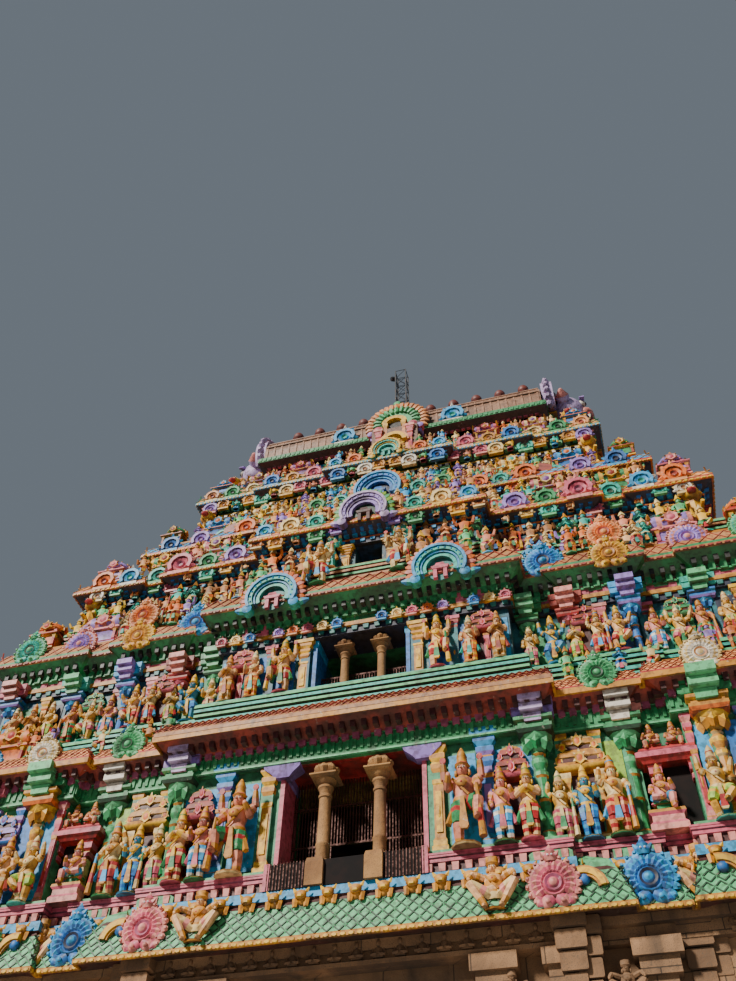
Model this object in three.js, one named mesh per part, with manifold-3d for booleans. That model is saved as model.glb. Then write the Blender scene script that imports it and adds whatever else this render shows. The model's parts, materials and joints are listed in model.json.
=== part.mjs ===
// Temple gateway tower of five painted storeys on a stone base, with a barrel roof.
// Millimetres, +Z up, front towards -Y. The origin is the middle of the footprint, at ground level.
import * as THREE from "three";
import { mergeVertices } from "three/addons/utils/BufferGeometryUtils.js";
import Module from "manifold-3d";

const wasm = await Module();
wasm.setup();

// Driving dimensions: the stone base and its passage
const baseHalfWidth = 12000;
const baseHalfDepth = 6050;
const basePlinthTop = 1500;
const baseWallTop = 9200;
const basePlinthSpread = 300;
const plinthStepTop = 900;
const plinthStepSpread = 150;
const passageHalfWidth = 2200;
const passageHeight = 7200;
const baseBeamTop = 9800;
const basePilasterXs = [2800, 4120, 5700, 8300, 11400];
const basePilasterWidth = 520;
const basePilasterDepth = 220;
const bracketSteps = 2;
const bracketHeight = 300;
const bracketStep = 90;
const lap = 20;

// Driving dimensions: storeys, from their floor to the underside of the cornice above.
// Each front step is [where it ends in X, how far the wall stands from the middle of the tower].
const storeys = [
  {
    floor: 11200,
    top: 13750,
    wall: 1000,
    steps: [[4200, 6300], [5900, 6050], [7100, 5900], [9300, 6200], [11900, 6050]],
    sideBay: [2600, 350],
    opening: 1670,
  },
  {
    floor: 15900,
    top: 17700,
    wall: 900,
    steps: [[3800, 5950], [5300, 5400], [6800, 5500], [8600, 5250], [10500, 5400]],
    sideBay: [2200, 320],
    opening: 1270,
  },
  {
    floor: 20300,
    top: 21400,
    wall: 800,
    steps: [[3200, 5500], [6300, 4850], [7800, 4600], [9300, 4750]],
    sideBay: [1900, 300],
    opening: 400,
  },
  {
    floor: 23000,
    top: 24000,
    wall: 700,
    steps: [[2500, 4050], [5500, 3750], [8100, 3600]],
    sideBay: [1500, 260],
    opening: 400,
  },
  {
    floor: 25700,
    top: 26900,
    wall: 600,
    steps: [[2100, 3150], [4700, 2950], [7000, 2800]],
    sideBay: [1100, 220],
    opening: 400,
  },
];

// Driving dimensions: cornices. Edge is the height of the drip lip, reach its overhang past the wall.
const cornices = [
  { bottom: 9800, edge: 10250, crown: 10900, reach: 350, centre: 5300, centreReach: 350 },
  { bottom: 13750, edge: 14500, crown: 15100, reach: 560, centre: 4650, centreReach: 850 },
  { bottom: 17700, edge: 18750, crown: 19500, reach: 480, centre: 4250, centreReach: 650 },
  { bottom: 21400, edge: 21950, crown: 22500, reach: 400, centre: 3500, centreReach: 480 },
  { bottom: 24000, edge: 24450, crown: 25100, reach: 360, centre: 2800, centreReach: 420 },
  { bottom: 26900, edge: 27700, crown: 28300, reach: 320, centre: 2300, centreReach: 380 },
];
const floorSlab = 400;
const plinthSpread = 270;

// Driving dimensions: the neck, the barrel roof and what stands on it
const neck = {
  floor: 28600,
  top: 30800,
  wall: 450,
  steps: [[900, 2450], [4000, 1300], [5300, 1450]],
  sideBay: [700, 150],
  opening: 330,
};
const neckDoorHeight = 900;
const neckDoorSill = 700;
const eave = { bottom: 30800, edge: 31000, crown: 31400, reach: 480 };
const eaveLip = 120;
const roofHalfWidth = 5650;
const roofHalfDepth = 1750;
const roofRidge = 33300;
const roofShell = 350;
const vaultTurns = 6;
const vaultUpright = 0.25;
const gableThick = 450;
const finialCount = 11;
const finialPitch = 1000;
const finialHeight = 650;
const ridgeHeight = 180;
const ridgeHalfDepth = 260;
const mastTop = 37050;
const mastX = -120;
const mastHalf = 230;
const mastBar = 50;
const mastBays = 4;

// Driving dimensions: what stands on the ledges and in the openings
const gap = 0.4;
const bite = 5;
const figureLedge = 120;
const figureReach = 340;
const figureHalfDepth = 150;
const parapetSlab = 90;
const parapetInset = 40;
const cornerShrineOut = 100;
const columnX = [620, 480];
const columnSetback = 330;
const columnRadius = [150, 125];
const grilleSetback = 690;
const grilleBar = 36;
const grilleBarsPerBay = 3;
const grilleRails = [0.36, 0.72];
const grilleRailHeight = 45;
const lowGrilleShare = 0.45;
const columnSill = 100;
const columnSillHalf = 220;
const columnBeam = 170;
const columnBeamHalf = 170;
const sideDoor = { x0: 6120, x1: 6840, top: 12860 };

// Each entry is [X, height] of a standing figure on the right half of the front.
const frontFigures = [
  [
    [2480, 1950], [3560, 1400], [4930, 1350], [5640, 1400],
    [7260, 1350], [8400, 1450], [9850, 1400], [11200, 1450],
  ],
  [[1960, 1600], [3100, 1350], [4620, 1500], [5900, 1350], [7700, 1300], [9300, 1300]],
  [[1250, 960], [2500, 930], [4100, 930], [5600, 930], [7100, 930], [8600, 930]],
  [[1000, 860], [2900, 860], [4700, 860], [6500, 860]],
  [[900, 950], [2700, 900], [4300, 900], [5900, 950]],
];
// Distance along Y from the middle of the side.
const sideFigures = [[1100, 2900, 4500], [900, 2500, 4100], [1000, 3000], [700, 2300], [900]];
const sideFigureHeight = [1400, 1300, 930, 860, 900];
const frontPilasters = [
  [1920, 2930, 4080, 4560, 5300, 7700, 9150, 10450, 11700],
  [1450, 2390, 4200, 5180, 7000, 8450, 10350],
  [760, 3080, 6180, 9150],
  [],
  [],
];
const pilasterWidth = 240;
const pilasterDepth = 110;

// Each entry is [X of the middle, width] of a barrel shrine on the right half of the ledge; a domed one
// stands on each corner and another on each side.
const shrines = [
  { corner: 1100, along: [[9600, 1300], [7820, 1200]] },
  { corner: 900, along: [[8350, 1300], [6400, 1300]] },
  { corner: 900, along: [[7200, 1200], [5400, 1200]] },
  { corner: 800, along: [[6100, 1100], [4500, 1100]] },
  { corner: 1000, along: [[5200, 1000], [3500, 1000]] },
];
const shrineHeight = [1450, 1400, 1300, 1200, 1000];
const shrineOverhang = 80;
// Each entry is [X, radius] of a round arch ornament on a cornice's front.
const archDiscs = [
  [[4100, 480], [5700, 520]],
  [[5620, 440], [7830, 420]],
  [[2230, 560], [4840, 520], [6500, 480]],
  [[0, 620], [6140, 460]],
  [[0, 700], [5200, 400]],
  [[0, 620], [4500, 340]],
];
const archDiscDepth = 200;
const archDiscSink = 0.6;
const archDiscLift = 0.75;

// Solids and meshes
function solid(geometry) {
  const bare = geometry.index ? geometry.toNonIndexed() : geometry.clone();
  bare.deleteAttribute("normal");
  bare.deleteAttribute("uv");
  const merged = mergeVertices(bare, 1e-3);
  const vertProperties = new Float32Array(merged.attributes.position.array);
  const corner = (i) => new THREE.Vector3().fromArray(vertProperties, 3 * i);
  const faces = [];
  for (let i = 0; i < merged.index.count; i += 3) {
    const face = [0, 1, 2].map((k) => merged.index.getX(i + k));
    if (new Set(face).size === 3) faces.push(face);
  }
  const volume = faces.reduce((sum, [a, b, c]) => sum + corner(a).dot(corner(b).cross(corner(c))), 0);
  const outward = volume < 0 ? faces.map(([a, b, c]) => [a, c, b]) : faces;
  const triVerts = new Uint32Array(outward.flat());
  return new wasm.Manifold(new wasm.Mesh({ numProp: 3, vertProperties, triVerts }));
}

function block(x0, x1, y0, y1, z0, z1) {
  const geometry = new THREE.BoxGeometry(Math.abs(x1 - x0), Math.abs(y1 - y0), z1 - z0);
  geometry.translate((x0 + x1) / 2, (y0 + y1) / 2, (z0 + z1) / 2);
  return solid(geometry);
}

function prism(points, z0, z1) {
  const shape = new THREE.Shape(points.map(([x, y]) => new THREE.Vector2(x, y)));
  const geometry = new THREE.ExtrudeGeometry(shape, { depth: z1 - z0, bevelEnabled: false });
  geometry.translate(0, 0, z0);
  return solid(geometry);
}

function turned(profile, segments) {
  const points = profile.map(([r, z]) => new THREE.Vector2(r, z));
  return new THREE.LatheGeometry(points, segments).rotateX(Math.PI / 2);
}

function joined(solids) {
  return solids.reduce((sum, next) => sum.add(next));
}

function geometryOf(made) {
  const mesh = made.getMesh();
  const geometry = new THREE.BufferGeometry();
  geometry.setAttribute("position", new THREE.BufferAttribute(mesh.vertProperties, 3));
  geometry.setIndex(new THREE.BufferAttribute(mesh.triVerts, 1));
  geometry.computeVertexNormals();
  return geometry;
}

const tower = new THREE.Group();

function place(name, made, colour, roughness = 0.75, metalness = 0) {
  const finish = { color: colour, roughness, metalness, flatShading: true };
  const material = new THREE.MeshStandardMaterial(finish);
  const mesh = new THREE.Mesh(geometryOf(made), material);
  mesh.name = name;
  tower.add(mesh);
}

// Stepped outline of a storey, grown outwards by a distance, one quarter then mirrored
function quarter(plan, grow) {
  const { steps, sideBay } = plan;
  const points = [];
  steps.forEach(([x, depth], i) => {
    const next = steps[i + 1];
    const turn = next ? Math.sign(depth - next[1]) : 1;
    points.push([x + turn * grow, -(depth + grow)]);
    if (next) points.push([x + turn * grow, -(next[1] + grow)]);
  });
  const width = steps.at(-1)[0];
  const [bay, out] = sideBay;
  points.push([width + grow, -(bay + grow)]);
  points.push([width + out + grow, -(bay + grow)]);
  return points;
}

function outline(plan, grow = 0) {
  const right = quarter(plan, grow);
  const back = right.map(([x, y]) => [x, -y]).reverse();
  const half = [...right, ...back];
  return [...half, ...half.map(([x, y]) => [-x, y]).reverse()];
}

// A solid through a stack of outlines with the same number of corners, each [points, height]
function stack(rings) {
  const count = rings[0][0].length;
  const positions = rings.flatMap(([points, z]) => points.flatMap(([x, y]) => [x, y, z]));
  const index = [];
  rings.slice(1).forEach((ring, level) => {
    for (let i = 0; i < count; i++) {
      const a = level * count + i;
      const b = level * count + ((i + 1) % count);
      index.push(a, b, b + count, a, b + count, a + count);
    }
  });
  const filled = ([points]) => {
    const corners = points.map(([x, y]) => new THREE.Vector2(x, y));
    return THREE.ShapeUtils.triangulateShape(corners, []);
  };
  const top = (rings.length - 1) * count;
  const cap = filled(rings[0]);
  const lid = filled(rings.at(-1));
  cap.forEach(([a, b, c]) => index.push(a, c, b));
  lid.forEach(([a, b, c]) => index.push(top + a, top + b, top + c));
  const geometry = new THREE.BufferGeometry();
  geometry.setAttribute("position", new THREE.Float32BufferAttribute(positions, 3));
  geometry.setIndex(index);
  return solid(geometry);
}

function wallFace(plan, x) {
  const found = plan.steps.find(([end]) => Math.abs(x) <= end);
  return found ? found[1] : plan.steps.at(-1)[1];
}

// The room inside a storey, as half sizes in X and Y
function room(plan) {
  const shallow = Math.min(...plan.steps.map(([, depth]) => depth));
  return [plan.steps.at(-1)[0] - plan.wall, shallow - plan.wall];
}

// The same storey with its middle bay standing further out, for the cornice's rings
function centred(plan, cornice, grow, share) {
  const steps = plan.steps.map(([x, depth], i) => {
    const extra = i === 0 ? (cornice.centreReach - cornice.reach) * share : 0;
    const wide = i === 0 ? (cornice.centre - plan.steps[0][0] - cornice.reach) * share : 0;
    return [x + wide, depth + extra];
  });
  return outline({ steps, sideBay: plan.sideBay }, grow);
}

// Rings of a cornice, each [share of the reach, share of the height, share of the middle bay's extra]
const underside = [[0.12, 0, 0.2], [0.2, 0.6, 0.3], [1, 1, 1]];
const upperSide = [[1, 0.16, 1], [0.78, 0.58, 0.9], [0.06, 1, 0.4]];

function corniceSolid(plan, cornice) {
  const { bottom, edge, crown, reach } = cornice;
  const under = underside.map(([out, rise, share]) => [
    centred(plan, cornice, reach * out, share),
    bottom + (edge - bottom) * rise,
  ]);
  const over = upperSide.map(([out, rise, share]) => [
    centred(plan, cornice, reach * out, share),
    edge + (crown - edge) * rise,
  ]);
  return stack([...under, ...over]);
}

function disc(x, y, z, radius, depth, sides = 6) {
  const geometry = new THREE.CylinderGeometry(radius, radius, depth, sides);
  geometry.translate(x, y, z);
  return solid(geometry);
}

function cornicePiece(level, below, above) {
  const cornice = cornices[level];
  let made = corniceSolid(below, cornice);
  archDiscs[level].filter(([, radius]) => radius > 0).forEach(([x, radius]) => {
    const reach = x < cornice.centre ? cornice.centreReach : cornice.reach;
    const front = wallFace(below, x) + reach;
    const sides = x === 0 ? [0] : [-x, x];
    sides.forEach((at) => {
      [-1, 1].forEach((face) => {
        const y = face * (front - archDiscDepth * archDiscSink);
        made = made.add(disc(at, y, cornice.edge + radius * archDiscLift, radius, archDiscDepth));
      });
    });
  });
  made = made.add(prism(outline(above, plinthSpread), cornice.crown - lap, above.floor));
  if (level === 0) return made;
  const [roomX, roomY] = room(above);
  return made.subtract(block(-roomX, roomX, -roomY, roomY, cornice.bottom - lap, above.floor - floorSlab));
}

// A closed profile in Y and Z, run along X
function runAlongX(points, x0, x1) {
  const shape = new THREE.Shape(points.map(([y, z]) => new THREE.Vector2(y, z)));
  const geometry = new THREE.ExtrudeGeometry(shape, { depth: x1 - x0, bevelEnabled: false });
  const axes = [new THREE.Vector3(0, 1, 0), new THREE.Vector3(0, 0, 1), new THREE.Vector3(1, 0, 0)];
  geometry.applyMatrix4(new THREE.Matrix4().makeBasis(...axes));
  geometry.translate(x0, 0, 0);
  return solid(geometry);
}

// Stone base: plinths, gate piers with pilasters, the storey over the passage and its beam
const stone = 0x8d7459;

function basePilaster(x, face, z0, z1, brackets) {
  const half = basePilasterWidth / 2;
  const y0 = face * (baseHalfDepth - lap);
  const made = [block(x - half, x + half, y0, face * (baseHalfDepth + basePilasterDepth), z0, z1)];
  for (let i = 0; i < brackets; i++) {
    const grow = bracketStep * (i + 1);
    const low = z1 - bracketHeight * (brackets - i);
    const front = face * (baseHalfDepth + basePilasterDepth + grow);
    made.push(block(x - half - grow, x + half + grow, y0, front, low, low + bracketHeight));
  }
  return joined(made);
}

function baseSide(side) {
  const inner = side * passageHalfWidth;
  const outer = side * baseHalfWidth;
  const spread = basePlinthSpread;
  const step = plinthStepSpread;
  const footEnd = baseHalfDepth + spread;
  const stepEnd = baseHalfDepth + step;
  const foot = block(inner, outer + side * spread, -footEnd, footEnd, 0, plinthStepTop);
  const upper = block(inner, outer + side * step, -stepEnd, stepEnd, plinthStepTop - lap, basePlinthTop);
  const name = side < 0 ? "left" : "right";
  place("plinth_" + name, foot.add(upper), stone, 0.9);
  let pier = block(inner, outer, -baseHalfDepth, baseHalfDepth, basePlinthTop, passageHeight);
  [-1, 1].forEach((face) => {
    basePilasterXs.forEach((x) => {
      pier = pier.add(basePilaster(side * x, face, basePlinthTop, passageHeight, 0));
    });
  });
  place("gate_pier_" + name, pier, stone, 0.9);
}

[-1, 1].forEach(baseSide);
let overPassage = block(
  -baseHalfWidth, baseHalfWidth, -baseHalfDepth, baseHalfDepth, passageHeight, baseWallTop,
);
[-1, 1].forEach((face) => {
  basePilasterXs.flatMap((x) => [-x, x]).forEach((x) => {
    overPassage = overPassage.add(basePilaster(x, face, passageHeight, baseWallTop, bracketSteps));
  });
});
place("gate_upper_wall", overPassage, stone, 0.9);
const beamSpread = [180, 330];
place(
  "stone_beam",
  joined(beamSpread.map((spread, i) => {
    const rise = (baseBeamTop - baseWallTop) / 2;
    const z0 = baseWallTop + i * rise;
    const x = baseHalfWidth + spread;
    const y = baseHalfDepth + spread;
    return block(-x, x, -y, y, i ? z0 - lap : z0, z0 + rise);
  })),
  stone,
  0.9,
);

// Cornices, each with the base mouldings and floor of the storey above it
const corniceColours = [0x7fcf9a, 0xb5633f, 0x4f9b62, 0x2b3f6b, 0xb24a4a, 0x6fae8e];
const carried = [...storeys, neck];
cornices.forEach((cornice, level) => {
  const below = storeys[Math.max(level - 1, 0)];
  place("cornice_" + level, cornicePiece(level, below, carried[level]), corniceColours[level]);
});

// Storey walls
const wallColours = [0x9fd9b8, 0x63c7c2, 0xe9d9a0, 0xe6cfa3, 0xe9d2ab];

function cornerWall(level, side, face) {
  const plan = storeys[level];
  const [roomX, roomY] = room(plan);
  const corners = quarter(plan, 0);
  const outer = corners.at(-1)[0];
  const points = [[plan.opening, corners[0][1]], ...corners, [outer, 0], [roomX, 0], [roomX, -roomY],
    [plan.opening, -roomY]];
  let made = prism(points.map(([x, y]) => [side * x, -face * y]), plan.floor, plan.top);
  const foot = plan.floor + figureLedge + gap;
  frontPilasters[level].forEach((x) => {
    const front = wallFace(plan, x);
    const half = pilasterWidth / 2;
    const depth = [face * (front - lap), face * (front + pilasterDepth)];
    made = made.add(block(side * (x - half), side * (x + half), ...depth, foot, plan.top));
  });
  return made;
}

// The same wall in three pieces: inside the doorway, outside it, and the lintel over it
function doorWall(side, face, name) {
  const wall = cornerWall(0, side, face);
  const { floor, top } = storeys[0];
  const far = 2 * baseHalfWidth;
  const slice = (from, to, low) => wall.intersect(block(side * from, side * to, -far, far, low, top));
  place(name + "inner_wall", slice(0, sideDoor.x0, floor), wallColours[0]);
  place(name + "lintel", slice(sideDoor.x0, sideDoor.x1, sideDoor.top), wallColours[0]);
  place(name + "outer_wall", slice(sideDoor.x1, far, floor), wallColours[0]);
}

function halfWall(level, side) {
  return cornerWall(level, side, -1).add(cornerWall(level, side, 1));
}

const sides = [[-1, "left"], [1, "right"]];
const faces = [[-1, "front"], [1, "back"]];
faces.forEach(([face, faceName]) => {
  sides.forEach(([side, sideName]) => doorWall(side, face, "storey_1_" + faceName + "_" + sideName + "_"));
});
[1, 2].forEach((level) => {
  sides.forEach(([side, sideName]) => {
    place("storey_" + (level + 1) + "_" + sideName + "_wall", halfWall(level, side), wallColours[level]);
  });
});
[3, 4].forEach((level) => {
  const plan = storeys[level];
  const [roomX, roomY] = room(plan);
  const ring = prism(outline(plan), plan.floor, plan.top);
  const hollow = block(-roomX, roomX, -roomY, roomY, plan.floor - lap, plan.top + lap);
  place("storey_" + (level + 1) + "_wall", ring.subtract(hollow), wallColours[level]);
});

// Stone columns on a sill under a beam, and the iron grille behind them
function columns(level, face) {
  const plan = storeys[level];
  const y = face * (plan.steps[0][1] - columnSetback);
  const r = columnRadius[level];
  const half = plan.opening - gap;
  const foot = plan.floor + columnSill;
  const beam = plan.top - columnBeam;
  const height = beam - foot;
  const shares = [[0, 0], [1.5, 0], [1.5, 0.12], [1, 0.15], [0.92, 0.72], [1.8, 0.86], [1.8, 0.9], [0, 0.9]];
  const shaft = shares.map(([out, rise]) => [r * out, height * rise]);
  const abacus = r * 2;
  const abacusLow = beam - height * 0.11;
  const made = [
    block(-half, half, y - columnSillHalf, y + columnSillHalf, plan.floor, foot),
    block(-half, half, y - columnBeamHalf, y + columnBeamHalf, beam, plan.top),
  ];
  [-1, 1].forEach((side) => {
    const x = side * columnX[level];
    const column = turned(shaft, 8).translate(x, y, foot - bite);
    made.push(solid(column));
    made.push(block(x - abacus, x + abacus, y - abacus, y + abacus, abacusLow, beam + bite));
  });
  return joined(made);
}

function grille(level, face) {
  const plan = storeys[level];
  const y = face * (plan.steps[0][1] - grilleSetback);
  const half = plan.opening - gap;
  const height = (plan.top - plan.floor) * (level === 0 ? 1 : lowGrilleShare);
  const bar = grilleBar / 2;
  const rails = [...grilleRails, ...(level === 0 ? [] : [1])].map((share) => plan.floor + height * share);
  const made = rails.map((z) => block(-half, half, y - bar, y + bar, z - grilleRailHeight, z));
  const bayEdges = [-plan.opening, -columnX[level], columnX[level], plan.opening];
  bayEdges.slice(1).forEach((end, bay) => {
    const start = bayEdges[bay];
    for (let i = 1; i < grilleBarsPerBay; i++) {
      const x = start + ((end - start) * i) / grilleBarsPerBay;
      const low = level === 0 && bay === 1 ? rails[0] - grilleRailHeight : plan.floor;
      made.push(block(x - bar, x + bar, y - bar * 0.8, y + bar * 0.8, low, plan.floor + height));
    }
  });
  return joined(made);
}

[0, 1].forEach((level) => {
  faces.forEach(([face, faceName]) => {
    place("storey_" + (level + 1) + "_" + faceName + "_columns", columns(level, face), 0x9c7d5a, 0.85);
    place("storey_" + (level + 1) + "_" + faceName + "_grille", grille(level, face), 0x6b3a28, 0.6, 0.4);
  });
});

// Standing figures on a ledge around each storey
function figure(x, y, z, height, onSide) {
  const r = height * 0.13;
  const form = [[0, 0], [r * 1.1, 0], [r * 1.4, height * 0.76], [0, height]];
  const flat = figureHalfDepth / (r * 1.4);
  const shape = turned(form, 4).scale(onSide ? flat : 1, onSide ? 1 : flat, 1);
  return solid(shape.translate(x, y, z));
}

function figureRing(level) {
  const plan = storeys[level];
  const z = plan.floor;
  const ledge = prism(outline(plan, figureReach), z, z + figureLedge);
  let made = ledge.subtract(prism(outline(plan, gap), z - lap, z + figureLedge + lap));
  frontFigures[level].forEach(([x, height]) => {
    const y = wallFace(plan, x) + figureReach / 2;
    [-1, 1].forEach((side) => {
      [-1, 1].forEach((face) => {
        made = made.add(figure(side * x, face * y, z + figureLedge - bite, height, false));
      });
    });
  });
  const width = plan.steps.at(-1)[0];
  const [bay, out] = plan.sideBay;
  sideFigures[level].flatMap((y) => [-y, y]).forEach((y) => {
    const x = width + (Math.abs(y) < bay ? out : 0) + figureReach / 2;
    [-1, 1].forEach((side) => {
      made = made.add(figure(side * x, y, z + figureLedge - bite, sideFigureHeight[level], true));
    });
  });
  return made;
}

const figureColours = [0xd98b6a, 0xd4a03f, 0xe0b070, 0xd9a070, 0xdca878];
storeys.forEach((plan, level) => {
  place("storey_" + (level + 1) + "_figures", figureRing(level), figureColours[level]);
});

// Miniature shrines on the ledge over each cornice, square under a dome or long under a barrel roof
function shrine([x0, x1], [y0, y1], z, height, shrinkX, shrinkY) {
  const x = (x0 + x1) / 2;
  const y = (y0 + y1) / 2;
  const halfX = Math.abs(x1 - x0) / 2;
  const halfY = Math.abs(y1 - y0) / 2;
  const rectangle = (sx, sy) => [[-1, -1], [1, -1], [1, 1], [-1, 1]].map(([px, py]) => [
    x + px * halfX * sx,
    y + py * halfY * sy,
  ]);
  return stack([
    [rectangle(0.86, 0.86), z],
    [rectangle(1, 1), z + height * 0.5],
    [rectangle(0.98, 0.98), z + height * 0.66],
    [rectangle(shrinkX, shrinkY), z + height],
  ]);
}

function parapet(level) {
  const below = storeys[level];
  const above = storeys[level + 1] ?? neck;
  const z = cornices[level + 1].crown;
  const spread = figureReach;
  const ring = prism(outline(below, -parapetInset), z, z + parapetSlab);
  const inside = prism(outline(above, plinthSpread + gap), z - lap, z + parapetSlab + lap);
  const foot = z + parapetSlab - bite;
  const height = shrineHeight[level];
  const made = [ring.subtract(inside)];
  const { corner, along } = shrines[level];
  const cornerX = below.steps.at(-1)[0] + cornerShrineOut;
  const cornerY = below.steps.at(-1)[1] + cornerShrineOut;
  const sideX0 = above.steps.at(-1)[0] + above.sideBay[1] + spread + 2 * gap;
  const sideX1 = below.steps.at(-1)[0] + below.sideBay[1] + shrineOverhang;
  const sideHalf = below.sideBay[0] * 0.7;
  [-1, 1].forEach((side) => {
    [-1, 1].forEach((face) => {
      const cornerSpan = [side * (cornerX - corner), side * cornerX];
      made.push(shrine(cornerSpan, [face * (cornerY - corner), face * cornerY], foot, height, 0.3, 0.3));
      along.forEach(([x, width]) => {
        const edges = [x - width / 2, x + width / 2];
        const reached = [edges[0] - spread - gap, x, edges[1] + spread + gap];
        const inner = Math.max(...reached.map((at) => wallFace(above, at))) + spread + 2 * gap;
        const outer = Math.min(...edges.map((at) => wallFace(below, at))) + shrineOverhang;
        const span = edges.map((at) => side * at);
        made.push(shrine(span, [face * inner, face * outer], foot, height, 0.85, 0.2));
      });
    });
    made.push(shrine([side * sideX0, side * sideX1], [-sideHalf, sideHalf], foot, height, 0.2, 0.85));
  });
  return joined(made);
}

const parapetColours = [0x4fb8b0, 0xd9a441, 0x9a7fc0, 0x5fae7a, 0xc77a6a];
storeys.forEach((plan, level) => {
  place("parapet_" + (level + 2), parapet(level), parapetColours[level]);
});

// Neck under the roof, with a small doorway front and back
const [neckRoomX, neckRoomY] = room(neck);
const neckRing = prism(outline(neck), neck.floor, neck.top);
const neckHollow = block(-neckRoomX, neckRoomX, -neckRoomY, neckRoomY, neck.floor - lap, neck.top + lap);
const doorSill = neck.floor + neckDoorSill;
const neckReach = neck.steps[0][1] + lap;
const doorTop = doorSill + neckDoorHeight;
const neckDoor = block(-neck.opening, neck.opening, -neckReach, neckReach, doorSill, doorTop);
place("neck_wall", neckRing.subtract(neckHollow).subtract(neckDoor), 0xdcae8a);

// Roof eave
const eavePlan = { steps: [[neck.steps.at(-1)[0], neck.steps.at(-1)[1]]], sideBay: neck.sideBay };
const eaveReach = [[0.3, eave.bottom], [1, eave.edge], [1, eave.edge + eaveLip], [0.6, eave.crown]];
const eaveRings = eaveReach.map(([share, z]) => [outline(eavePlan, eave.reach * share), z]);
place("roof_eave", stack(eaveRings), 0x4f8f5f);

// Barrel vault, open below
function vaultProfile(inset) {
  const half = roofHalfDepth - inset;
  const rise = roofRidge - inset - eave.crown;
  const widest = Math.acos(ridgeHalfDepth / roofHalfDepth);
  const right = [];
  for (let i = 0; i <= vaultTurns; i++) {
    const angle = (i / vaultTurns) * widest;
    const share = vaultUpright + (1 - vaultUpright) * (Math.sin(angle) / Math.sin(widest));
    right.push([half * Math.cos(angle), eave.crown + rise * share]);
  }
  const arc = [[half, eave.crown], ...right];
  return [...arc, ...arc.map(([y, z]) => [-y, z]).reverse()];
}

const vaultEnd = roofHalfWidth;
const vaultOuter = runAlongX(vaultProfile(0), -vaultEnd, vaultEnd);
const hollowProfile = vaultProfile(roofShell).map(([y, z]) => [y, z > eave.crown ? z : z - lap]);
const vaultInner = runAlongX(hollowProfile, -vaultEnd - lap, vaultEnd + lap);
place("roof_vault", vaultOuter.subtract(vaultInner), 0xb9805f);

// Horseshoe gables with a horned lion mask at each end
const gableRadius = 1750;
const gableRise = 1150;
const gableSquash = 0.95;
const gableOverturn = 0.6;
const gableArcs = 10;
const gableFootShare = 0.8;
const maskRadius = 620;
const maskLift = 500;
const horn = { radius: 170, length: 900, lean: 0.5, out: 560, lift: 1050 };
const gableDome = { radius: 430, out: 60, lift: 900 };
[[-1, "left"], [1, "right"]].forEach(([side, sideName]) => {
  const x0 = side * (vaultEnd + gap);
  const x1 = side * (vaultEnd + gableThick);
  const arch = [];
  const low = eave.crown;
  for (let i = 0; i <= gableArcs; i++) {
    const angle = -gableOverturn + ((Math.PI + 2 * gableOverturn) * i) / gableArcs;
    const z = low + gableRise + gableRadius * gableSquash * Math.sin(angle);
    arch.push([gableRadius * Math.cos(angle), z]);
  }
  const foot = gableRadius * gableFootShare;
  const points = [[foot, low], ...arch, [-foot, low]].filter(([, z]) => z >= low);
  const face = runAlongX(points, Math.min(x0, x1), Math.max(x0, x1));
  const mask = new THREE.IcosahedronGeometry(maskRadius, 0).scale(0.75, 1, 0.9);
  mask.translate(x1, 0, roofRidge + maskLift);
  const made = [face, solid(mask)];
  [-1, 1].forEach((hand) => {
    const cone = new THREE.ConeGeometry(horn.radius, horn.length, 5).rotateX(Math.PI / 2);
    cone.rotateX(hand * horn.lean);
    cone.translate(x1, -hand * horn.out, roofRidge + horn.lift);
    made.push(solid(cone));
  });
  const dome = new THREE.IcosahedronGeometry(gableDome.radius, 0).scale(0.8, 1, 1.1);
  dome.translate(x1 + side * gableDome.out, 0, low + gableDome.lift);
  made.push(solid(dome));
  place("gable_" + sideName, joined(made), 0xb58aa8);
});

// Arched dormers over the neck doorways
const dormerRadius = 1180;
const dormerCentre = 32050;
const dormerFront = 2100;
const dormerBack = 900;
const dormerFoot = { half: 880, back: 1400, out: 280, top: 31350 };
const dormerCrest = { half: 260, back: 1750, lap: 120, top: 33700 };
faces.forEach(([face, faceName]) => {
  const y0 = face * dormerBack;
  const y1 = face * dormerFront;
  const ring = disc(0, (y0 + y1) / 2, dormerCentre, dormerRadius, Math.abs(y1 - y0), 12);
  const { half, back, out } = dormerFoot;
  const foot = block(-half, half, face * back, face * (dormerFront + out), neck.top, dormerFoot.top);
  const crestLow = dormerCentre + dormerRadius - dormerCrest.lap;
  const crestHalf = dormerCrest.half;
  const crest = block(-crestHalf, crestHalf, face * dormerCrest.back, y1, crestLow, dormerCrest.top);
  const eaveEnd = neck.steps.at(-1)[1] + eave.reach + gap;
  const clear = block(-vaultEnd, vaultEnd, -eaveEnd, eaveEnd, neck.top - lap, eave.crown + gap);
  const roofed = runAlongX(vaultProfile(-gap), -vaultEnd, vaultEnd);
  place("dormer_" + faceName, joined([ring, foot, crest]).subtract(clear).subtract(roofed), 0xd9a58a);
});

// Ridge with its row of pot finials
const ridgeEnd = vaultEnd - 100;
const ridgeSide = ridgeHalfDepth - 30;
const ridgeTop = roofRidge + ridgeHeight;
const ridge = [block(-ridgeEnd, ridgeEnd, -ridgeSide, ridgeSide, roofRidge + gap, ridgeTop)];
for (let i = 0; i < finialCount; i++) {
  const x = (i - (finialCount - 1) / 2) * finialPitch;
  const pot = [[0, 0], [170, 0], [230, 210], [110, 300], [200, 430], [0, finialHeight]];
  ridge.push(solid(turned(pot, 6).translate(x, 0, ridgeTop - bite)));
}
place("ridge_finials", joined(ridge), 0x7a4a34);

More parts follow.
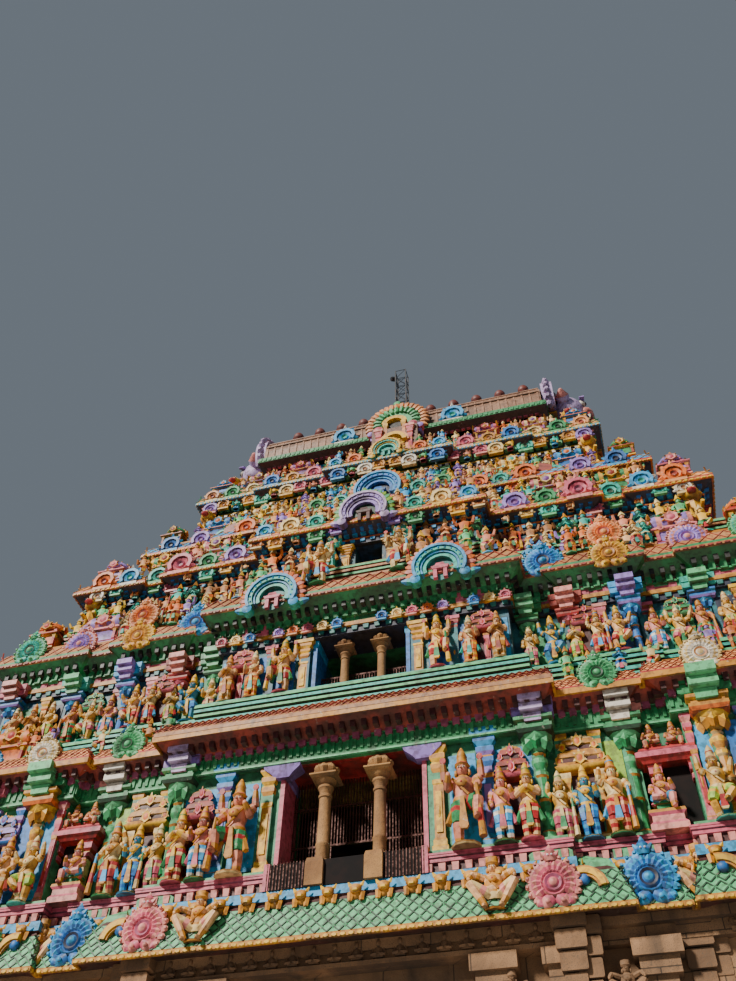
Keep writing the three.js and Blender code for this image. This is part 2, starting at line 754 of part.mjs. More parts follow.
// Steel lattice mast behind the front dormer
const mastY = -620;
const mastFoot = 32600;
const mastRise = (mastTop - roofRidge) / mastBays - 80;
const lamp = { out: 400, y0: 260, y1: 180, low: 420, high: 180 };
const mast = [];
const legs = [[-1, -1], [1, -1], [1, 1], [-1, 1]];
const barHalf = mastBar / 2;

function strut(from, to) {
  const span = to.clone().sub(from);
  const geometry = new THREE.BoxGeometry(mastBar, mastBar, span.length());
  const upright = new THREE.Vector3(0, 0, 1);
  geometry.applyQuaternion(new THREE.Quaternion().setFromUnitVectors(upright, span.normalize()));
  const middle = from.clone().add(to).multiplyScalar(0.5);
  geometry.translate(middle.x, middle.y, middle.z);
  return solid(geometry);
}

function legAt(i, z) {
  const [sideX, sideY] = legs[i % 4];
  return new THREE.Vector3(mastX + sideX * mastHalf, mastY + sideY * mastHalf, z);
}

for (let i = 0; i < 4; i++) {
  const { x, y } = legAt(i, 0);
  mast.push(block(x - barHalf, x + barHalf, y - barHalf, y + barHalf, mastFoot, mastTop));
  for (let bay = 0; bay < mastBays; bay++) {
    const z = roofRidge + 300 + bay * mastRise;
    mast.push(strut(legAt(i, z), legAt(i + 1, z + mastRise)));
  }
  mast.push(strut(legAt(i, mastTop - 30), legAt(i + 1, mastTop - 30)));
}
mast.push(block(mastX - lamp.out, mastX - mastHalf, mastY - lamp.y0, mastY - lamp.y1,
  mastTop - lamp.low, mastTop - lamp.high));
const roofed = runAlongX(vaultProfile(-gap), -vaultEnd, vaultEnd);
place("mast", joined(mast).subtract(roofed), 0x26292c, 0.5, 0.7);

export default tower;
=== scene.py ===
import json
import math
import random

import bpy
import numpy as np
from mathutils import Matrix, Vector

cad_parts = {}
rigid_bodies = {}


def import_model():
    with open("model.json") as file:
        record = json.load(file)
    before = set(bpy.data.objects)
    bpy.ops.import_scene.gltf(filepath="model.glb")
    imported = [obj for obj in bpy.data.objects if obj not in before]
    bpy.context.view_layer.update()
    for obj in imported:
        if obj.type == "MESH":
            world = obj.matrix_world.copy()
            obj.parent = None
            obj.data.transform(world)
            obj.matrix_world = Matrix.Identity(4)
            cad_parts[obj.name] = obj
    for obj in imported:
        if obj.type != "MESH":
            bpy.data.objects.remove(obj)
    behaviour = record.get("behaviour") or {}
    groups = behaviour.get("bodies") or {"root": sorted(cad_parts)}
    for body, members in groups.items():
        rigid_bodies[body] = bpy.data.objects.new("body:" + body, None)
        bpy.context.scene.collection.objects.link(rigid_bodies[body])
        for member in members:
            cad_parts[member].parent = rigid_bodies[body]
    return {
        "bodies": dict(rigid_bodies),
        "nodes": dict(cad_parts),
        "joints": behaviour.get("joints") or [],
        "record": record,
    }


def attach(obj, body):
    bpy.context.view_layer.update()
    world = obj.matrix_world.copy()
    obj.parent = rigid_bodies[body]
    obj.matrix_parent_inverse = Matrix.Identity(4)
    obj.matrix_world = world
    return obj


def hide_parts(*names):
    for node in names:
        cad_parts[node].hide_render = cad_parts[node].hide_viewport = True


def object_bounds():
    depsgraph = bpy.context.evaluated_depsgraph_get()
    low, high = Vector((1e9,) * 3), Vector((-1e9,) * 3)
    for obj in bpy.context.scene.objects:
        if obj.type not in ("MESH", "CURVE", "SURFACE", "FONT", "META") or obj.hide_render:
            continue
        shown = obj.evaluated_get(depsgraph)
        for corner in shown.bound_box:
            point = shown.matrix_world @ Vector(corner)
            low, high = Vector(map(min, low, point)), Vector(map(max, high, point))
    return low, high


random.seed(11)
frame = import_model()
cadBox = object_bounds()
print("frame loaded, nodes:", len(frame["nodes"]))

def named(keys, values):
    # a dictionary from a line of keys and a row of values, or from two lines of words
    words = values.split() if isinstance(values, str) else values
    return dict(zip(keys.split(), words))


def scheme(colours):
    # the colours of a form's roles, in this order, as far as they are given
    return named("main trim accent gold dark cloth", colours)


def dress(colours):
    return named("skin cloth stripe trim", colours)


# the camera stands low to the right of the middle and looks up at the front
cameraView = {
    "place": (5.5, -24.0, 1.76),
    "turnLeft": 16.77,
    "lookUp": 48.72,
    "roll": 1.57,
    "focalPixels": 947,
    "photoHeight": 981,
    "sensor": 36,
}


def addCamera():
    view = cameraView
    turn = math.radians(view["turnLeft"])
    pitch = math.radians(view["lookUp"])
    roll = math.radians(view["roll"])
    ahead = Vector((-math.sin(turn), math.cos(turn), 0))
    right = Vector((math.cos(turn), math.sin(turn), 0))
    up = Vector((0, 0, 1))
    forward = ahead * math.cos(pitch) + up * math.sin(pitch)
    upward = up * math.cos(pitch) - ahead * math.sin(pitch)
    across = right * math.cos(roll) + upward * math.sin(roll)
    upright = upward * math.cos(roll) - right * math.sin(roll)
    data = bpy.data.cameras.new("streetCamera")
    data.sensor_width = view["sensor"]
    data.lens = view["focalPixels"] * view["sensor"] / view["photoHeight"]
    data.clip_start = 0.1
    data.clip_end = 500
    camera = bpy.data.objects.new("streetCamera", data)
    turned = Matrix((across, upright, -forward)).transposed().to_4x4()
    camera.matrix_world = Matrix.Translation(view["place"]) @ turned
    bpy.context.collection.objects.link(camera)
    bpy.context.scene.camera = camera


addCamera()

# sizes of the storeys in metres: steps are (where each ends in x, how far the wall stands out), and the
# middle bay of each side is (half its width, how far it stands out)
storeys = [named("floor top steps sideBay opening", row) for row in (
    (11.2, 13.75, [(4.2, 6.3), (5.9, 6.05), (7.1, 5.9), (9.3, 6.2), (11.9, 6.05)], (2.6, 0.35), 1.67),
    (15.9, 17.7, [(3.8, 5.95), (5.3, 5.4), (6.8, 5.5), (8.6, 5.25), (10.5, 5.4)], (2.2, 0.32), 1.27),
    (20.3, 21.4, [(3.2, 5.5), (6.3, 4.85), (7.8, 4.6), (9.3, 4.75)], (1.9, 0.3)),
    (23.0, 24.0, [(2.5, 4.05), (5.5, 3.75), (8.1, 3.6)], (1.5, 0.26)),
    (25.7, 26.9, [(2.1, 3.15), (4.7, 2.95), (7.0, 2.8)], (1.1, 0.22)),
    (28.6, 30.8, [(0.9, 2.45), (4.0, 1.3), (5.3, 1.45)], (0.7, 0.15)),
)]
# the cornices under them, with how far the lip reaches out and where its middle bay ends
cornices = [named("bottom edge crown reach centre centreReach", row) for row in (
    (9.8, 10.25, 10.9, 0.35, 5.3, 0.35),
    (13.75, 14.5, 15.1, 0.56, 4.65, 0.85),
    (17.7, 18.75, 19.5, 0.48, 4.25, 0.65),
    (21.4, 21.95, 22.5, 0.4, 3.5, 0.48),
    (24.0, 24.45, 25.1, 0.36, 2.8, 0.42),
    (26.9, 27.7, 28.3, 0.32, 2.3, 0.38),
)]

# paint colours, as linear red, green and blue
paint = {
    "pink": (0.66, 0.10, 0.17),
    "palePink": (0.82, 0.28, 0.24),
    "mauve": (0.40, 0.075, 0.16),
    "maroon": (0.075, 0.008, 0.008),
    "red": (0.52, 0.008, 0.010),
    "brickRed": (0.36, 0.03, 0.012),
    "tan": (0.50, 0.20, 0.055),
    "gold": (0.62, 0.25, 0.006),
    "yellow": (0.86, 0.48, 0.015),
    "cream": (0.84, 0.60, 0.24),
    "white": (0.82, 0.74, 0.62),
    "mint": (0.10, 0.50, 0.20),
    "green": (0.008, 0.28, 0.08),
    "darkGreen": (0.004, 0.055, 0.018),
    "lime": (0.32, 0.56, 0.03),
    "turquoise": (0.006, 0.46, 0.36),
    "skyBlue": (0.02, 0.36, 0.72),
    "blue": (0.006, 0.17, 0.55),
    "navy": (0.004, 0.010, 0.045),
    "lilac": (0.33, 0.20, 0.64),
    "paleLilac": (0.52, 0.38, 0.66),
    "purple": (0.22, 0.05, 0.30),
    "teal": (0.006, 0.22, 0.20),
    "roofBrown": (0.36, 0.17, 0.09),
    "hornGrey": (0.26, 0.22, 0.27),
    "orange": (0.84, 0.17, 0.008),
    "peach": (0.84, 0.33, 0.11),
    "skinCream": (0.84, 0.45, 0.19),
    "skinPink": (0.76, 0.25, 0.14),
    "skinOchre": (0.76, 0.38, 0.03),
    "skinBlue": (0.015, 0.28, 0.48),
    "skinGreen": (0.06, 0.38, 0.16),
    "black": (0.008, 0.007, 0.007),
}

# every form is modelled with these roles, and each copy gives the roles its own colours
roleNames = ["skin", "cloth", "stripe", "trim", "gold", "hair", "white", "dark", "main", "accent"]
roleNumber = {name: i for i, name in enumerate(roleNames)}
roleMarkers = [bpy.data.materials.new("role_" + name) for name in roleNames]


def toObjectMode():
    if bpy.context.mode != "OBJECT":
        bpy.ops.object.mode_set(mode="OBJECT")


def selectOnly(objects):
    toObjectMode()
    bpy.ops.object.select_all(action="DESELECT")
    for one in objects:
        one.select_set(True)
    bpy.context.view_layer.objects.active = objects[0]


def giveRole(piece, role):
    piece.data.materials.clear()
    for marker in roleMarkers:
        piece.data.materials.append(marker)
    numbers = np.full(len(piece.data.polygons), roleNumber[role], dtype=np.int32)
    piece.data.polygons.foreach_set("material_index", numbers)


def settle(piece):
    # the place and turn go into the mesh, so the object stands at the origin
    piece.data.transform(piece.matrix_world)
    piece.matrix_world = Matrix.Identity(4)
    return piece


def closeUp():
    bpy.ops.mesh.select_all(action="SELECT")
    bpy.ops.mesh.normals_make_consistent(inside=False)
    bpy.ops.object.mode_set(mode="OBJECT")


def extrudeBy(x, y, z):
    bpy.ops.mesh.extrude_region_move(TRANSFORM_OT_translate={"value": (x, y, z)})


def faceCentres(piece):
    centres = np.zeros(len(piece.data.polygons) * 3)
    piece.data.polygons.foreach_get("center", centres)
    return centres.reshape(-1, 3)


def rolesByBand(piece, places, sections):
    # a face belongs to the band between two sections whose middle is nearest to its own place
    middles = np.array([[(a[i] + b[i]) / 2 for i in range(2)] for a, b in zip(sections, sections[1:])])
    numbers = np.array([roleNumber[section[-1]] for section in sections[1:]], dtype=np.int32)
    nearest = ((places[:, None] - middles[None]) ** 2).sum(axis=2).argmin(axis=1)
    piece.data.polygons.foreach_set("material_index", numbers[nearest])


def loft(sections, sides=8, at=(0, 0, 0), towards=(0, 0, 1), squash=(1, 1, 1)):
    # sections are (distance, radius, role of the band that ends there), grown from a filled circle
    axis = Vector(towards).normalized()
    start = Vector(at)
    first = sections[0]
    bpy.ops.mesh.primitive_circle_add(
        vertices=sides,
        radius=first[1],
        fill_type="NGON",
        location=start + axis * first[0],
        rotation=axis.to_track_quat("Z", "Y").to_euler(),
    )
    piece = bpy.context.object
    bpy.ops.object.mode_set(mode="EDIT")
    last = first
    for section in sections[1:]:
        step = axis * (section[0] - last[0])
        bpy.ops.mesh.extrude_region_move(TRANSFORM_OT_translate={"value": step})
        share = section[1] / last[1]
        if share != 1:
            middle = start + axis * section[0]
            bpy.ops.transform.resize(value=(share, share, share), center_override=middle)
        last = section
    if tuple(squash) != (1, 1, 1):
        bpy.ops.mesh.select_all(action="SELECT")
        bpy.ops.transform.resize(value=squash, center_override=start)
    closeUp()
    settle(piece)
    giveRole(piece, first[2])
    away = (faceCentres(piece) - np.array(start)) / np.array(squash)
    distances = away @ np.array(axis)
    radii = np.linalg.norm(away - distances[:, None] * np.array(axis), axis=1)
    rolesByBand(piece, np.stack([distances, radii], axis=1), sections)
    return piece


def stackUp(sections, at=(0, 0, 0)):
    # sections are (height, half width, half depth, role), grown from a plane by extruding
    start = Vector(at)
    first = sections[0]
    middle = start + Vector((0, 0, first[0]))
    bpy.ops.mesh.primitive_plane_add(size=2, location=middle)
    piece = bpy.context.object
    bpy.ops.object.mode_set(mode="EDIT")
    bpy.ops.transform.resize(value=(first[1], first[2], 1), center_override=middle)
    last = first
    for section in sections[1:]:
        extrudeBy(0, 0, section[0] - last[0])
        middle = start + Vector((0, 0, section[0]))
        share = (section[1] / last[1], section[2] / last[2], 1)
        if share[0] != 1 or share[1] != 1:
            bpy.ops.transform.resize(value=share, center_override=middle)
        last = section
    closeUp()
    settle(piece)
    giveRole(piece, first[3])
    heights = faceCentres(piece)[:, 2] - start.z
    places = np.stack([heights, np.zeros_like(heights)], axis=1)
    rolesByBand(piece, places, [(s[0], 0, s[3]) for s in sections])
    return piece


def slab(low, high, halfWidth, halfDepth, role="main", at=(0, 0, 0)):
    return stackUp([(low, halfWidth, halfDepth, role), (high, halfWidth, halfDepth, role)], at)


def ofRole(role, *sections):
    # every section of a form in the same role
    return [(*section, role) for section in sections]


def ball(at, radius, squash=(1, 1, 1), role="skin", segments=8, rings=6):
    bpy.ops.mesh.primitive_uv_sphere_add(segments=segments, ring_count=rings, radius=radius, location=at)
    piece = bpy.context.object
    bpy.ops.object.mode_set(mode="EDIT")
    bpy.ops.transform.resize(value=squash, center_override=at)
    closeUp()
    settle(piece)
    giveRole(piece, role)
    return piece


def arch(radii, depths, angles, steps, at=(0, 0, 0), role="main", stretch=1.0):
    # a rectangle spun round the axis that points out of the wall; angles in degrees from the right
    inner, outer = radii
    front, back = depths
    start, end = (math.radians(a) for a in angles)
    centre = Vector(at)
    middle = centre + Vector(((inner + outer) / 2, (front + back) / 2, 0))
    bpy.ops.mesh.primitive_plane_add(size=2, location=middle)
    piece = bpy.context.object
    bpy.ops.object.mode_set(mode="EDIT")
    half = ((outer - inner) / 2, (back - front) / 2, 1)
    bpy.ops.transform.resize(value=half, center_override=middle)
    bpy.ops.mesh.spin(steps=steps, angle=end - start, center=centre, axis=(0, 1, 0))
    closeUp()
    settle(piece)
    tilt = Matrix.Translation(centre) @ Matrix.Rotation(-start, 4, "Y") @ Matrix.Translation(-centre)
    piece.data.transform(tilt)
    if stretch != 1:
        grow = Matrix.Translation(centre) @ Matrix.Diagonal((1, 1, stretch, 1)) @ Matrix.Translation(-centre)
        piece.data.transform(grow)
    giveRole(piece, role)
    return piece


def joined(parts, name="form"):
    selectOnly(parts)
    bpy.ops.object.join()
    whole = bpy.context.object
    whole.name = name
    whole.data.name = name
    return whole


def smooth(piece, angle=40):
    selectOnly([piece])
    bpy.ops.object.shade_smooth_by_angle(angle=math.radians(angle))
    return piece


def copyOf(source, matrix):
    data = source.data.copy()
    data.transform(matrix)
    if matrix.determinant() < 0:
        data.flip_normals()
    twin = bpy.data.objects.new(source.name, data)
    bpy.context.collection.objects.link(twin)
    return twin


def putAway(forms):
    # the first model of each form is only a pattern for copies, so it is removed at the end
    for form in forms:
        bpy.data.objects.remove(form)


# shader groups that several materials share
def shaderGroup(name, inputs, outputs):
    group = bpy.data.node_groups.new(name, "ShaderNodeTree")
    for label, value in inputs:
        kind = "NodeSocketColor" if isinstance(value, tuple) else "NodeSocketFloat"
        socket = group.interface.new_socket(name=label, in_out="INPUT", socket_type=kind)
        socket.default_value = value
    for label, kind in outputs:
        group.interface.new_socket(name=label, in_out="OUTPUT", socket_type=kind)
    start = group.nodes.new("NodeGroupInput")
    end = group.nodes.new("NodeGroupOutput")
    return group, start, end


def noise(tree, scale, detail=3.0, stretch=(1, 1, 1)):
    place = tree.nodes.new("ShaderNodeTexCoord").outputs["Object"]
    mapping = tree.nodes.new("ShaderNodeMapping")
    mapping.inputs["Scale"].default_value = stretch
    texture = tree.nodes.new("ShaderNodeTexNoise")
    texture.inputs["Detail"].default_value = detail
    tree.links.new(place, mapping.inputs["Vector"])
    tree.links.new(mapping.outputs["Vector"], texture.inputs["Vector"])
    if hasattr(scale, "is_output"):
        tree.links.new(scale, texture.inputs["Scale"])
    else:
        texture.inputs["Scale"].default_value = scale
    return texture.outputs["Fac"]


def ramp(tree, value, low, high):
    step = tree.nodes.new("ShaderNodeMapRange")
    step.interpolation_type = "SMOOTHSTEP"
    step.inputs["From Min"].default_value = low
    step.inputs["From Max"].default_value = high
    tree.links.new(value, step.inputs["Value"])
    return step.outputs["Result"]


def maths(tree, operation, first, second):
    node = tree.nodes.new("ShaderNodeMath")
    node.operation = operation
    for socket, value in zip(node.inputs, (first, second)):
        if hasattr(value, "is_output"):
            tree.links.new(value, socket)
        else:
            socket.default_value = value
    return node.outputs["Value"]


def mixed(tree, share, first, second, blend="MIX"):
    node = tree.nodes.new("ShaderNodeMix")
    node.data_type = "RGBA"
    node.blend_type = blend
    sockets = (node.inputs[0], node.inputs[6], node.inputs[7])
    for socket, value in zip(sockets, (share, first, second)):
        if hasattr(value, "is_output"):
            tree.links.new(value, socket)
        elif isinstance(value, tuple):
            socket.default_value = (*value, 1)
        else:
            socket.default_value = value
    return node.outputs[2]


# rain runs down the plaster in narrow dark lines
def makeRainStreaks():
    group, start, end = shaderGroup("rainStreaks", [("Scale", 3.0)], [("Mask", "NodeSocketFloat")])
    lines = noise(group, start.outputs["Scale"], 4, (1, 1, 0.1))
    patches = noise(group, 0.45, 2)
    held = maths(group, "MULTIPLY", ramp(group, lines, 0.5, 0.72), ramp(group, patches, 0.42, 0.6))
    group.links.new(held, end.inputs["Mask"])
    return group


# sun and dust bleach the faces that look up; painted shade, over some blotchy grime, darkens those that look
# down
def makeBleachAndUnderShade():
    outputs = [("Bleach", "NodeSocketFloat"), ("ShadeAndGrime", "NodeSocketFloat")]
    group, start, end = shaderGroup("bleachAndUnderShade", [("Scale", 1.5)], outputs)
    facing = group.nodes.new("ShaderNodeSeparateXYZ")
    geometry = group.nodes.new("ShaderNodeNewGeometry")
    group.links.new(geometry.outputs["Normal"], facing.inputs["Vector"])
    cloud = noise(group, start.outputs["Scale"], 5)
    upward = ramp(group, facing.outputs["Z"], 0.2, 1.0)
    downward = ramp(group, maths(group, "MULTIPLY", facing.outputs["Z"], -1.0), 0.3, 1.0)
    bleach = maths(group, "MULTIPLY", ramp(group, cloud, 0.35, 0.65), maths(group, "ADD", upward, 0.35))
    # painted shade: darker where the face looks down, over blotchy grime that lies everywhere
    shadeAndGrime = maths(group, "MULTIPLY", ramp(group, cloud, 0.62, 0.4), maths(group, "ADD", downward, 0.25))
    group.links.new(bleach, end.inputs["Bleach"])
    group.links.new(shadeAndGrime, end.inputs["ShadeAndGrime"])
    return group


# hand-laid plaster: a soft waviness, a fine grit and small chips
def makePlasterSkin():
    outputs = [("Height", "NodeSocketFloat"), ("Chips", "NodeSocketFloat")]
    group, start, end = shaderGroup("plasterSkin", [("Scale", 14.0)], outputs)
    wave = noise(group, start.outputs["Scale"], 2)
    grit = noise(group, maths(group, "MULTIPLY", start.outputs["Scale"], 9.0), 2)
    chips = ramp(group, noise(group, start.outputs["Scale"], 6), 0.66, 0.7)
    height = maths(group, "ADD", wave, maths(group, "MULTIPLY", grit, 0.3))
    height = maths(group, "SUBTRACT", height, maths(group, "MULTIPLY", chips, 0.6))
    group.links.new(height, end.inputs["Height"])
    group.links.new(chips, end.inputs["Chips"])
    return group


# joints between squared blocks, the same on the fronts and the sides
def makeBlockJoints():
    inputs = [("Block Width", 1.3), ("Course", 0.55), ("Joint", 0.012)]
    outputs = [("Joint", "NodeSocketFloat"), ("Tone", "NodeSocketFloat")]
    group, start, end = shaderGroup("blockJoints", inputs, outputs)
    place = group.nodes.new("ShaderNodeTexCoord")
    split = group.nodes.new("ShaderNodeSeparateXYZ")
    flat = group.nodes.new("ShaderNodeCombineXYZ")
    bricks = group.nodes.new("ShaderNodeTexBrick")
    group.links.new(place.outputs["Object"], split.inputs["Vector"])
    across = maths(group, "ADD", split.outputs["X"], split.outputs["Y"])
    group.links.new(across, flat.inputs["X"])
    group.links.new(split.outputs["Z"], flat.inputs["Y"])
    group.links.new(flat.outputs["Vector"], bricks.inputs["Vector"])
    bricks.inputs["Color1"].default_value = (0, 0, 0, 1)
    bricks.inputs["Color2"].default_value = (1, 1, 1, 1)
    bricks.inputs["Mortar"].default_value = (0.5, 0.5, 0.5, 1)
    bricks.inputs["Scale"].default_value = 1.0
    bricks.inputs["Mortar Smooth"].default_value = 0.3
    group.links.new(start.outputs["Block Width"], bricks.inputs["Brick Width"])
    group.links.new(start.outputs["Course"], bricks.inputs["Row Height"])
    group.links.new(start.outputs["Joint"], bricks.inputs["Mortar Size"])
    group.links.new(bricks.outputs["Fac"], end.inputs["Joint"])
    group.links.new(bricks.outputs["Color"], end.inputs["Tone"])
    return group


rainStreaks = makeRainStreaks()
bleachAndUnderShade = makeBleachAndUnderShade()
plasterSkin = makePlasterSkin()
blockJoints = makeBlockJoints()


def usedGroup(tree, group, **values):
    node = tree.nodes.new("ShaderNodeGroup")
    node.node_tree = group
    for label, value in values.items():
        node.inputs[label.replace("_", " ")].default_value = value
    return node


def freshMaterial(name):
    material = bpy.data.materials.new(name)
    material.use_nodes = True
    shader = material.node_tree.nodes["Principled BSDF"]
    return material, material.node_tree, shader


def bumped(tree, shader, height, strength, distance):
    bump = tree.nodes.new("ShaderNodeBump")
    bump.inputs["Strength"].default_value = strength
    bump.inputs["Distance"].default_value = distance
    tree.links.new(height, bump.inputs["Height"])
    tree.links.new(bump.outputs["Normal"], shader.inputs["Normal"])


plasterFinish = {
    "bleachColour": (0.72, 0.66, 0.56),
    # this colour paints the shade on faces that look down, and the rain stains
    "shadeAndStainColour": (0.045, 0.035, 0.03),
    "chipColour": (0.60, 0.53, 0.44),
    "bleach": 0.12,
    "shadeAndGrime": 0.62,
    "streaks": 0.5,
    "chips": 0.45,
    "grime": 0.75,
    "grimeColour": (0.45, 0.38, 0.33),
    "gloss": 0.5,
}


def layered(tree, coat, mask, share, colour):
    # a share of the colour lies over the coat where the mask is bright
    return mixed(tree, maths(tree, "MULTIPLY", mask, share), coat, colour)


def roughened(tree, shader, least, mask, share):
    rough = maths(tree, "ADD", least, maths(tree, "MULTIPLY", mask, share))
    tree.links.new(rough, shader.inputs["Roughness"])


def plaster(name, colour=None, second=None):
    # with no colour it takes the colour that each copy of a form carries in its paint attribute
    finish = plasterFinish
    material, tree, shader = freshMaterial(name)
    skin = usedGroup(tree, plasterSkin, Scale=9.0)
    bleachAndShadeMasks = usedGroup(tree, bleachAndUnderShade, Scale=1.3).outputs
    rain = usedGroup(tree, rainStreaks, Scale=3.5)
    if colour is None:
        carried = tree.nodes.new("ShaderNodeAttribute")
        carried.attribute_name = "paint"
        coat = carried.outputs["Color"]
    else:
        brushed = ramp(tree, noise(tree, 2.2, 6), 0.35, 0.65)
        coat = mixed(tree, brushed, colour, second or tuple(0.78 * part for part in colour))
    coat = layered(tree, coat, bleachAndShadeMasks["Bleach"], finish["bleach"], finish["bleachColour"])
    coat = layered(tree, coat, skin.outputs["Chips"], finish["chips"], finish["chipColour"])
    # painted shade on the faces that look down, over some blotchy grime
    coat = layered(tree, coat, bleachAndShadeMasks["ShadeAndGrime"], finish["shadeAndGrime"], finish["shadeAndStainColour"])
    grime = maths(tree, "MULTIPLY", ramp(tree, noise(tree, 8, 9), 0.46, 0.64), finish["grime"])
    coat = mixed(tree, grime, coat, finish["grimeColour"], "MULTIPLY")
    coat = layered(tree, coat, rain.outputs["Mask"], finish["streaks"], finish["shadeAndStainColour"])
    tree.links.new(coat, shader.inputs["Base Color"])
    roughened(tree, shader, finish["gloss"], bleachAndShadeMasks["Bleach"], 0.3)
    bumped(tree, shader, skin.outputs["Height"], 0.35, 0.02)
    return material


stoneFinish = {
    "block": 1.35,
    "course": 0.58,
    "joint": 0.012,
    "speckColour": (0.10, 0.075, 0.05),
    "jointColour": (0.03, 0.022, 0.015),
    # this colour paints the shade on faces that look down
    "shadeAndStainColour": (0.03, 0.022, 0.018),
    "rainColour": (0.035, 0.028, 0.022),
}


def granite(name, light, dark, jointed=True):
    finish = stoneFinish
    material, tree, shader = freshMaterial(name)
    cloud = noise(tree, 1.1, 8)
    speck = noise(tree, 60, 3)
    coat = mixed(tree, ramp(tree, cloud, 0.3, 0.7), dark, light)
    coat = mixed(tree, ramp(tree, speck, 0.5, 0.72), coat, finish["speckColour"])
    height = maths(tree, "ADD", noise(tree, 7, 8), maths(tree, "MULTIPLY", speck, 0.2))
    if jointed:
        joints = usedGroup(tree, blockJoints, Block_Width=finish["block"], Course=finish["course"],
                           Joint=finish["joint"]).outputs
        coat = layered(tree, coat, joints["Tone"], 0.35, tuple(0.55 * part for part in dark))
        coat = layered(tree, coat, joints["Joint"], 0.8, finish["jointColour"])
        height = maths(tree, "SUBTRACT", height, maths(tree, "MULTIPLY", joints["Joint"], 1.5))
    bleachAndShadeMasks = usedGroup(tree, bleachAndUnderShade, Scale=0.8)
    rain = usedGroup(tree, rainStreaks, Scale=2.4)
    # painted shade on the faces that look down, over some blotchy grime
    coat = layered(tree, coat, bleachAndShadeMasks.outputs["ShadeAndGrime"], 0.6, finish["shadeAndStainColour"])
    coat = layered(tree, coat, rain.outputs["Mask"], 0.6, finish["rainColour"])
    tree.links.new(coat, shader.inputs["Base Color"])
    shader.inputs["Roughness"].default_value = 0.88
    bumped(tree, shader, height, 0.6, 0.04)
    return material


def rustyIron():
    material, tree, shader = freshMaterial("rustyIron")
    spots = ramp(tree, noise(tree, 16, 7), 0.42, 0.6)
    dust = ramp(tree, noise(tree, 5, 4, (1, 1, 0.3)), 0.5, 0.75)
    coat = mixed(tree, spots, (0.09, 0.022, 0.011), (0.04, 0.011, 0.008))
    coat = layered(tree, coat, dust, 0.4, (0.13, 0.05, 0.03))
    tree.links.new(coat, shader.inputs["Base Color"])
    shader.inputs["Metallic"].default_value = 0.3
    roughened(tree, shader, 0.55, spots, 0.3)
    bumped(tree, shader, spots, 0.4, 0.004)
    return material


def paintedSteel():
    material, tree, shader = freshMaterial("paintedSteel")
    worn = ramp(tree, noise(tree, 22, 6), 0.56, 0.66)
    coat = mixed(tree, worn, (0.05, 0.055, 0.06), (0.16, 0.075, 0.045))
    tree.links.new(coat, shader.inputs["Base Color"])
    shader.inputs["Metallic"].default_value = 0.6
    roughened(tree, shader, 0.4, worn, 0.4)
    bumped(tree, shader, worn, 0.3, 0.003)
    return material


def unlitRecess():
    material, tree, shader = freshMaterial("unlitRecess")
    cloud = ramp(tree, noise(tree, 3, 3), 0.4, 0.6)
    shade = mixed(tree, cloud, (0.006, 0.004, 0.004), (0.012, 0.006, 0.005))
    tree.links.new(shade, shader.inputs["Base Color"])
    shader.inputs["Roughness"].default_value = 1.0
    return material


def firedClay():
    material, tree, shader = freshMaterial("firedClay")
    cloud = ramp(tree, noise(tree, 5, 6), 0.35, 0.65)
    rain = usedGroup(tree, rainStreaks, Scale=9.0)
    coat = mixed(tree, cloud, (0.20, 0.045, 0.03), (0.11, 0.022, 0.018))
    coat = layered(tree, coat, rain.outputs["Mask"], 0.5, (0.04, 0.03, 0.025))
    tree.links.new(coat, shader.inputs["Base Color"])
    roughened(tree, shader, 0.4, cloud, 0.3)
    bumped(tree, shader, cloud, 0.25, 0.01)
    return material


paintedPlaster = plaster("paintedPlaster")
baseGranite = granite("baseGranite", (0.46, 0.25, 0.12), (0.22, 0.12, 0.06))
columnGranite = granite("columnGranite", (0.50, 0.26, 0.09), (0.26, 0.12, 0.045), jointed=False)
baseCarvedStone = granite("baseCarvedStone", (0.34, 0.18, 0.085), (0.15, 0.08, 0.04), jointed=False)
ironRust = rustyIron()
gapShade = unlitRecess()
steelPaint = paintedSteel()
potClay = firedClay()
print("materials made")

# finishes of the solids that stay as they are
solidFinishes = {
    "plinth_left": baseGranite,
    "plinth_right": baseGranite,
    "gate_pier_left": baseGranite,
    "gate_pier_right": baseGranite,
    "gate_upper_wall": baseGranite,
    "stone_beam": baseGranite,
    "cornice_0": plaster("mintCornice", paint["mint"]),
    "cornice_1": plaster("terracottaCornice", paint["tan"]),
    "cornice_2": plaster("darkGreenCornice", paint["green"]),
    "cornice_3": plaster("navyCornice", paint["navy"], paint["blue"]),
    "cornice_4": plaster("redCornice", paint["brickRed"]),
    "cornice_5": plaster("greenCornice", paint["green"]),
    "roof_eave": plaster("maroonEave", paint["maroon"]),
    "roof_vault": plaster("roofPlaster", (0.34, 0.16, 0.08), (0.20, 0.09, 0.045)),
    "neck_wall": plaster("brownNeck", (0.20, 0.08, 0.04)),
}
wallPaints = {
    "storey_1": plaster("greenWall", (0.05, 0.36, 0.16), (0.02, 0.20, 0.09)),
    "storey_2": plaster("tealWall", (0.01, 0.20, 0.22), (0.006, 0.09, 0.16)),
    "storey_3": plaster("navyWall", (0.01, 0.12, 0.16), (0.006, 0.05, 0.10)),
    "storey_4": plaster("maroonWall", (0.12, 0.02, 0.03), (0.02, 0.05, 0.08)),
    "storey_5": plaster("duskyWall", (0.02, 0.13, 0.14), (0.10, 0.02, 0.03)),
}
for name, node in frame["nodes"].items():
    finish = solidFinishes.get(name)
    if finish is None and name.endswith("_wall") or name.endswith("_lintel"):
        finish = wallPaints.get(name[:8]) or finish
    if finish:
        for slot in node.material_slots:
            slot.material = finish


